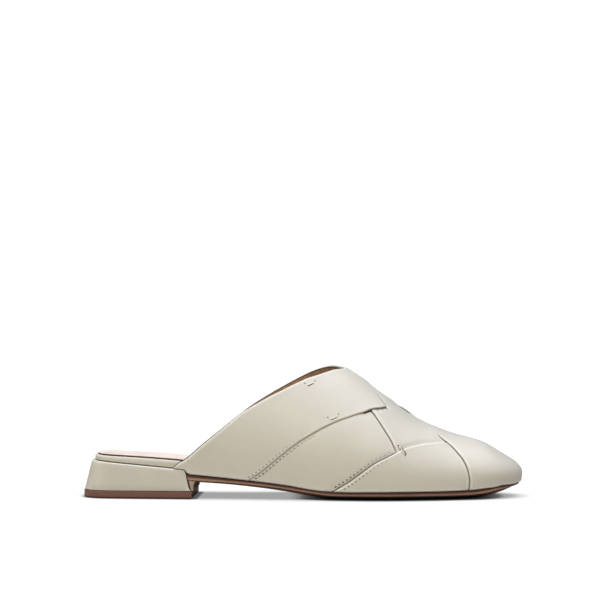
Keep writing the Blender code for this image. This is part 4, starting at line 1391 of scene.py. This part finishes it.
def build_stitch_tree():
    """Geometry Nodes: beads of a given length and width at an even pitch along the rows of the mesh."""
    tree = bpy.data.node_groups.new("stitch row", "GeometryNodeTree")
    tree.interface.new_socket("Geometry", in_out="INPUT", socket_type="NodeSocketGeometry")
    for label in ("Pitch", "Length", "Width"):
        tree.interface.new_socket(label, in_out="INPUT", socket_type="NodeSocketFloat")
    tree.interface.new_socket("Material", in_out="INPUT", socket_type="NodeSocketMaterial")
    tree.interface.new_socket("Geometry", in_out="OUTPUT", socket_type="NodeSocketGeometry")
    get, put = tree.nodes.new("NodeGroupInput").outputs, tree.nodes.new("NodeGroupOutput").inputs
    curve = node(tree, "GeometryNodeMeshToCurve", [("Mesh", get["Geometry"])])
    run = [("Curve", curve.outputs[0]), ("Length", get["Pitch"])]
    points = node(tree, "GeometryNodeCurveToPoints", run, mode="LENGTH")
    turn = node(tree, "FunctionNodeAlignRotationToVector", [("Vector", points.outputs["Tangent"])], axis="Z")
    ball = node(tree, "GeometryNodeMeshUVSphere", [("Segments", 8), ("Rings", 8), ("Radius", 0.5)])
    width, length = get["Width"], get["Length"]
    size = node(tree, "ShaderNodeCombineXYZ", [("X", width), ("Y", width), ("Z", length)])
    bead = node(tree, "GeometryNodeTransform", [("Geometry", ball.outputs[0]), ("Scale", size.outputs[0])])
    beads = node(tree, "GeometryNodeInstanceOnPoints", [
        ("Points", points.outputs["Points"]), ("Instance", bead.outputs[0]), ("Rotation", turn.outputs[0]),
    ])
    real = node(tree, "GeometryNodeRealizeInstances", [("Geometry", beads.outputs[0])])
    rounded = node(tree, "GeometryNodeSetShadeSmooth", [(0, real.outputs[0])])
    dressed = node(tree, "GeometryNodeSetMaterial", [
        ("Geometry", rounded.outputs[0]), ("Material", get["Material"]),
    ])
    tree.links.new(dressed.outputs[0], put["Geometry"])
    return tree


STITCH_TREE = build_stitch_tree()


def sew(name, lines, pitch, length, width, material):
    """A piece of beads along lines of points in millimetres."""
    points, edges = [], []
    for line in lines:
        first = len(points)
        points += in_metres(line)
        edges += [(i, i + 1) for i in range(first, len(points) - 1)]
    data = bpy.data.meshes.new(name)
    data.from_pydata(points, edges, [])
    rows = bpy.data.objects.new(name + "_rows", data)
    scene.collection.objects.link(rows)
    sewing = rows.modifiers.new("sewing", "NODES")
    sewing.node_group = STITCH_TREE
    inputs = [item for item in STITCH_TREE.interface.items_tree if item.in_out == "INPUT"]
    sockets = {item.name: item.identifier for item in inputs}
    for label, value in (("Pitch", pitch * MM), ("Length", length * MM), ("Width", width * MM)):
        sewing[sockets[label]] = value
    sewing[sockets["Material"]] = material
    bpy.context.view_layer.update()
    ready = rows.evaluated_get(bpy.context.evaluated_depsgraph_get())
    made = bpy.data.meshes.new_from_object(ready)
    bpy.data.objects.remove(rows)
    piece = bpy.data.objects.new(name, made)
    scene.collection.objects.link(piece)
    print(name, "has", len(made.polygons), "faces")
    return piece

# %% Sewing the seams
def evenly(line, start, pitch):
    """Points every pitch millimetres along a line in space, from start."""
    run = np.concatenate([[0], np.cumsum(np.linalg.norm(np.diff(line, axis=0), axis=1))])
    at = np.arange(start, run[-1], pitch)
    return np.stack([np.interp(at, run, line[:, k]) for k in range(3)], 1)


def seam_lines(rows, level, height):
    """Rows of the pattern as lines in space, at a height over their band where the stitches draw it down."""
    return [above_last(row, level - STITCHED_DOWN + height) for row in rows]


def all_rows(height):
    """Every stitch row of the outer side, then of the inner side."""
    return (
        seam_lines(rear_rows[:1], REAR_LEVEL, height)
        + seam_lines([rear_rows[1], front_rows[0]], MIDDLE_LEVEL, height)
        + seam_lines(front_rows[1:], FRONT_LEVEL, height)
        + seam_lines(inner_rows[:1], CROSS_LEVEL, height)
        + seam_lines([inner_rows[1], inner_rows[3]], MIDDLE_LEVEL, height)
        + seam_lines(inner_rows[2:3], INNER_FRONT_LEVEL, height)
    )


STEP = 0.3                  # mm between the points of a row
thread_rows = [evenly(line, STITCH_PITCH / 2, STEP) for line in all_rows(THREAD_LIFT)]
stitches = sew("stitches", thread_rows, STITCH_PITCH, STITCH_LENGTH, THREAD, thread)
# dark beads at the holes between the stitches: painted shade
hole_rows = [evenly(line, 0.0, STEP) for line in all_rows(0.0)]
hole_shades = sew("stitch_hole_shades", hole_rows, STITCH_PITCH, HOLE_LENGTH, HOLE_WIDTH, hole_shade)

# %% [markdown]
# ## Tacks
#
# Where two bands only cross, a short bar of thread tacks them together: two on the rear band, one over the
# tip of the front seam, and their twins on the inner side. A tack is a thread that leaves one hole, lies on
# the leather and dives into the next, so it is made as a tube along a few points. A dark tube beside and
# below each tack paints its shadow, and small dark beads at its ends paint the shade in its holes.

# %% Tacks
def tube(line, radius, sides=10):
    """Rings of a tube with closed ends along a line of points, as vertices and faces."""
    way = np.gradient(line, axis=0)
    way /= np.linalg.norm(way, axis=1)[:, None]
    points, faces = [], []
    for i, (p, w) in enumerate(zip(line, way)):
        aside = np.cross(w, (0.0, 0.0, 1.0))
        aside /= np.linalg.norm(aside)
        up = np.cross(aside, w)
        wide = radius * (0.45 if i in (0, len(line) - 1) else 1.0)
        for k in range(sides):
            a = 2 * pi * k / sides
            points.append(p + wide * (cos(a) * aside + sin(a) * up))
    for i in range(len(line) - 1):
        for k in range(sides):
            j = (k + 1) % sides
            faces.append((i * sides + k, i * sides + j, (i + 1) * sides + j, (i + 1) * sides + k))
    faces.append(tuple(range(sides))[::-1])
    faces.append(tuple(range((len(line) - 1) * sides, len(line) * sides)))
    return points, faces


def thread_piece(name, bars, radius, material):
    """Tubes of thread along bars, each a row of (along, share across, height over the last)."""
    points, faces = [], []
    for bar in bars:
        bar = np.array(bar, float)
        run = np.concatenate([[0], np.cumsum(np.hypot(*np.diff(bar[:, :2] * (1, GIRTH), axis=0).T))])
        at = np.linspace(0, run[-1], 17)
        rows = {"x": run, "along": bar[:, 0], "across": bar[:, 1] * GIRTH, "height": bar[:, 2]}
        flat = np.stack([smooth(rows, "along", at), smooth(rows, "across", at)], 1)
        line = above_last(flat, smooth(rows, "height", at))
        p, f = tube(line, radius)
        faces += [tuple(v + len(points) for v in face) for face in f]
        points += p
    piece = as_piece(name, points, faces)
    piece.data.materials.append(material)
    return piece


TACK_RADIUS = 0.3
TACKS = (                   # (along, share across, height) from hole to hole
    ((0.8, -0.414, -0.2), (2.0, -0.423, 0.5), (3.6, -0.411, 0.6), (5.3, -0.396, 0.5), (6.6, -0.378, -0.2)),
    (
        (14.3, -0.593, -0.2), (15.6, -0.599, 0.5), (17.4, -0.59, 0.6), (19.2, -0.574, 0.5),
        (20.4, -0.556, -0.2),
    ),
    (
        (54.9, -0.625, -0.2), (55.8, -0.641, 0.7), (57.0, -0.662, 0.9), (58.2, -0.682, 0.7),
        (58.9, -0.694, -0.2),
    ),
)
TACK_DROP = 0.35            # the inner tacks lie this much lower, and so does the painted shadow beside every tack
INNER_TACKS = tuple(
    tuple((along, -across, height - TACK_DROP) for along, across, height in tack) for tack in TACKS[:2]
)
tacks = thread_piece("thread_tacks", TACKS + INNER_TACKS, TACK_RADIUS, thread)


def shadow_beside(tack, along, across):
    """Painted shadow of a tack's thread: a dark tube like the same bar, aside and lower."""
    return tuple((a + along, c + across, h - TACK_DROP) for a, c, h in tack)


# painted shadows beside the tacks
TACK_SHADOWS = (
    shadow_beside(TACKS[0], 0.1, -0.004), shadow_beside(TACKS[1], 0.1, -0.004), shadow_beside(TACKS[2], 0.75, 0.004),
    shadow_beside(INNER_TACKS[0], 0.1, 0.004), shadow_beside(INNER_TACKS[1], 0.1, 0.004),
)
tack_shadows = thread_piece("tack_shadows", TACK_SHADOWS, TACK_RADIUS, hole_shade)


def tack_ends(tack, level):
    """Short lines, half a millimetre long, where a tack's thread dives into the leather."""
    lines = []
    for along, across, _ in (tack[0], tack[-1]):
        flat = np.array([(along - 0.25, across * GIRTH), (along + 0.25, across * GIRTH)])
        lines.append(above_last(flat, level))
    return lines


END_LEVELS = (0.38, 0.38, 0.28, 0.0, 0.0)   # mm of the leather over the last at each tack
ends = [line for tack, level in zip(TACKS + INNER_TACKS, END_LEVELS) for line in tack_ends(tack, level)]
# dark beads at the tacks' ends: painted shade in their holes
tack_hole_shades = sew("tack_hole_shades", ends, 1.0, 0.9, 0.65, hole_shade)

# %% [markdown]
# ## Putting it together
#
# Every piece gets its finish, rides on the shoe's one body and stands for the solid that it details.

# %% Finishes, bodies and the nodes that the pieces stand for
DRESS = (
    (bands, cream_leather, "upper_leather", ("upper",)),
    ([lining], lining_leather, "sock_leather", ("upper",)),
    ([sole], sole_leather, "sole_leather", ("outsole",)),
    ([flap], flap_leather, "sole_leather", ("outsole",)),
    ([insole], wrap_leather, "edge_leather", ("insole_board",)),
    ([sock], sock_leather, "sock_leather", ("sock",)),
    ([heel_cover], heel_leather, "heel_leather", ("heel_block",)),
    ([lift], lift_rubber, "lift", ("top_lift",)),
    ([stitches, hole_shades, tacks, tack_shadows, tack_hole_shades], None, "upper_leather", ()),
)
for group_of_pieces, finish, slot, nodes in DRESS:
    for piece in group_of_pieces:
        if finish:
            piece.data.materials.append(finish)
        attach(piece, "root")
        if nodes:
            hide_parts(*nodes)
print("dressed", sum(len(entry[0]) for entry in DRESS), "pieces")
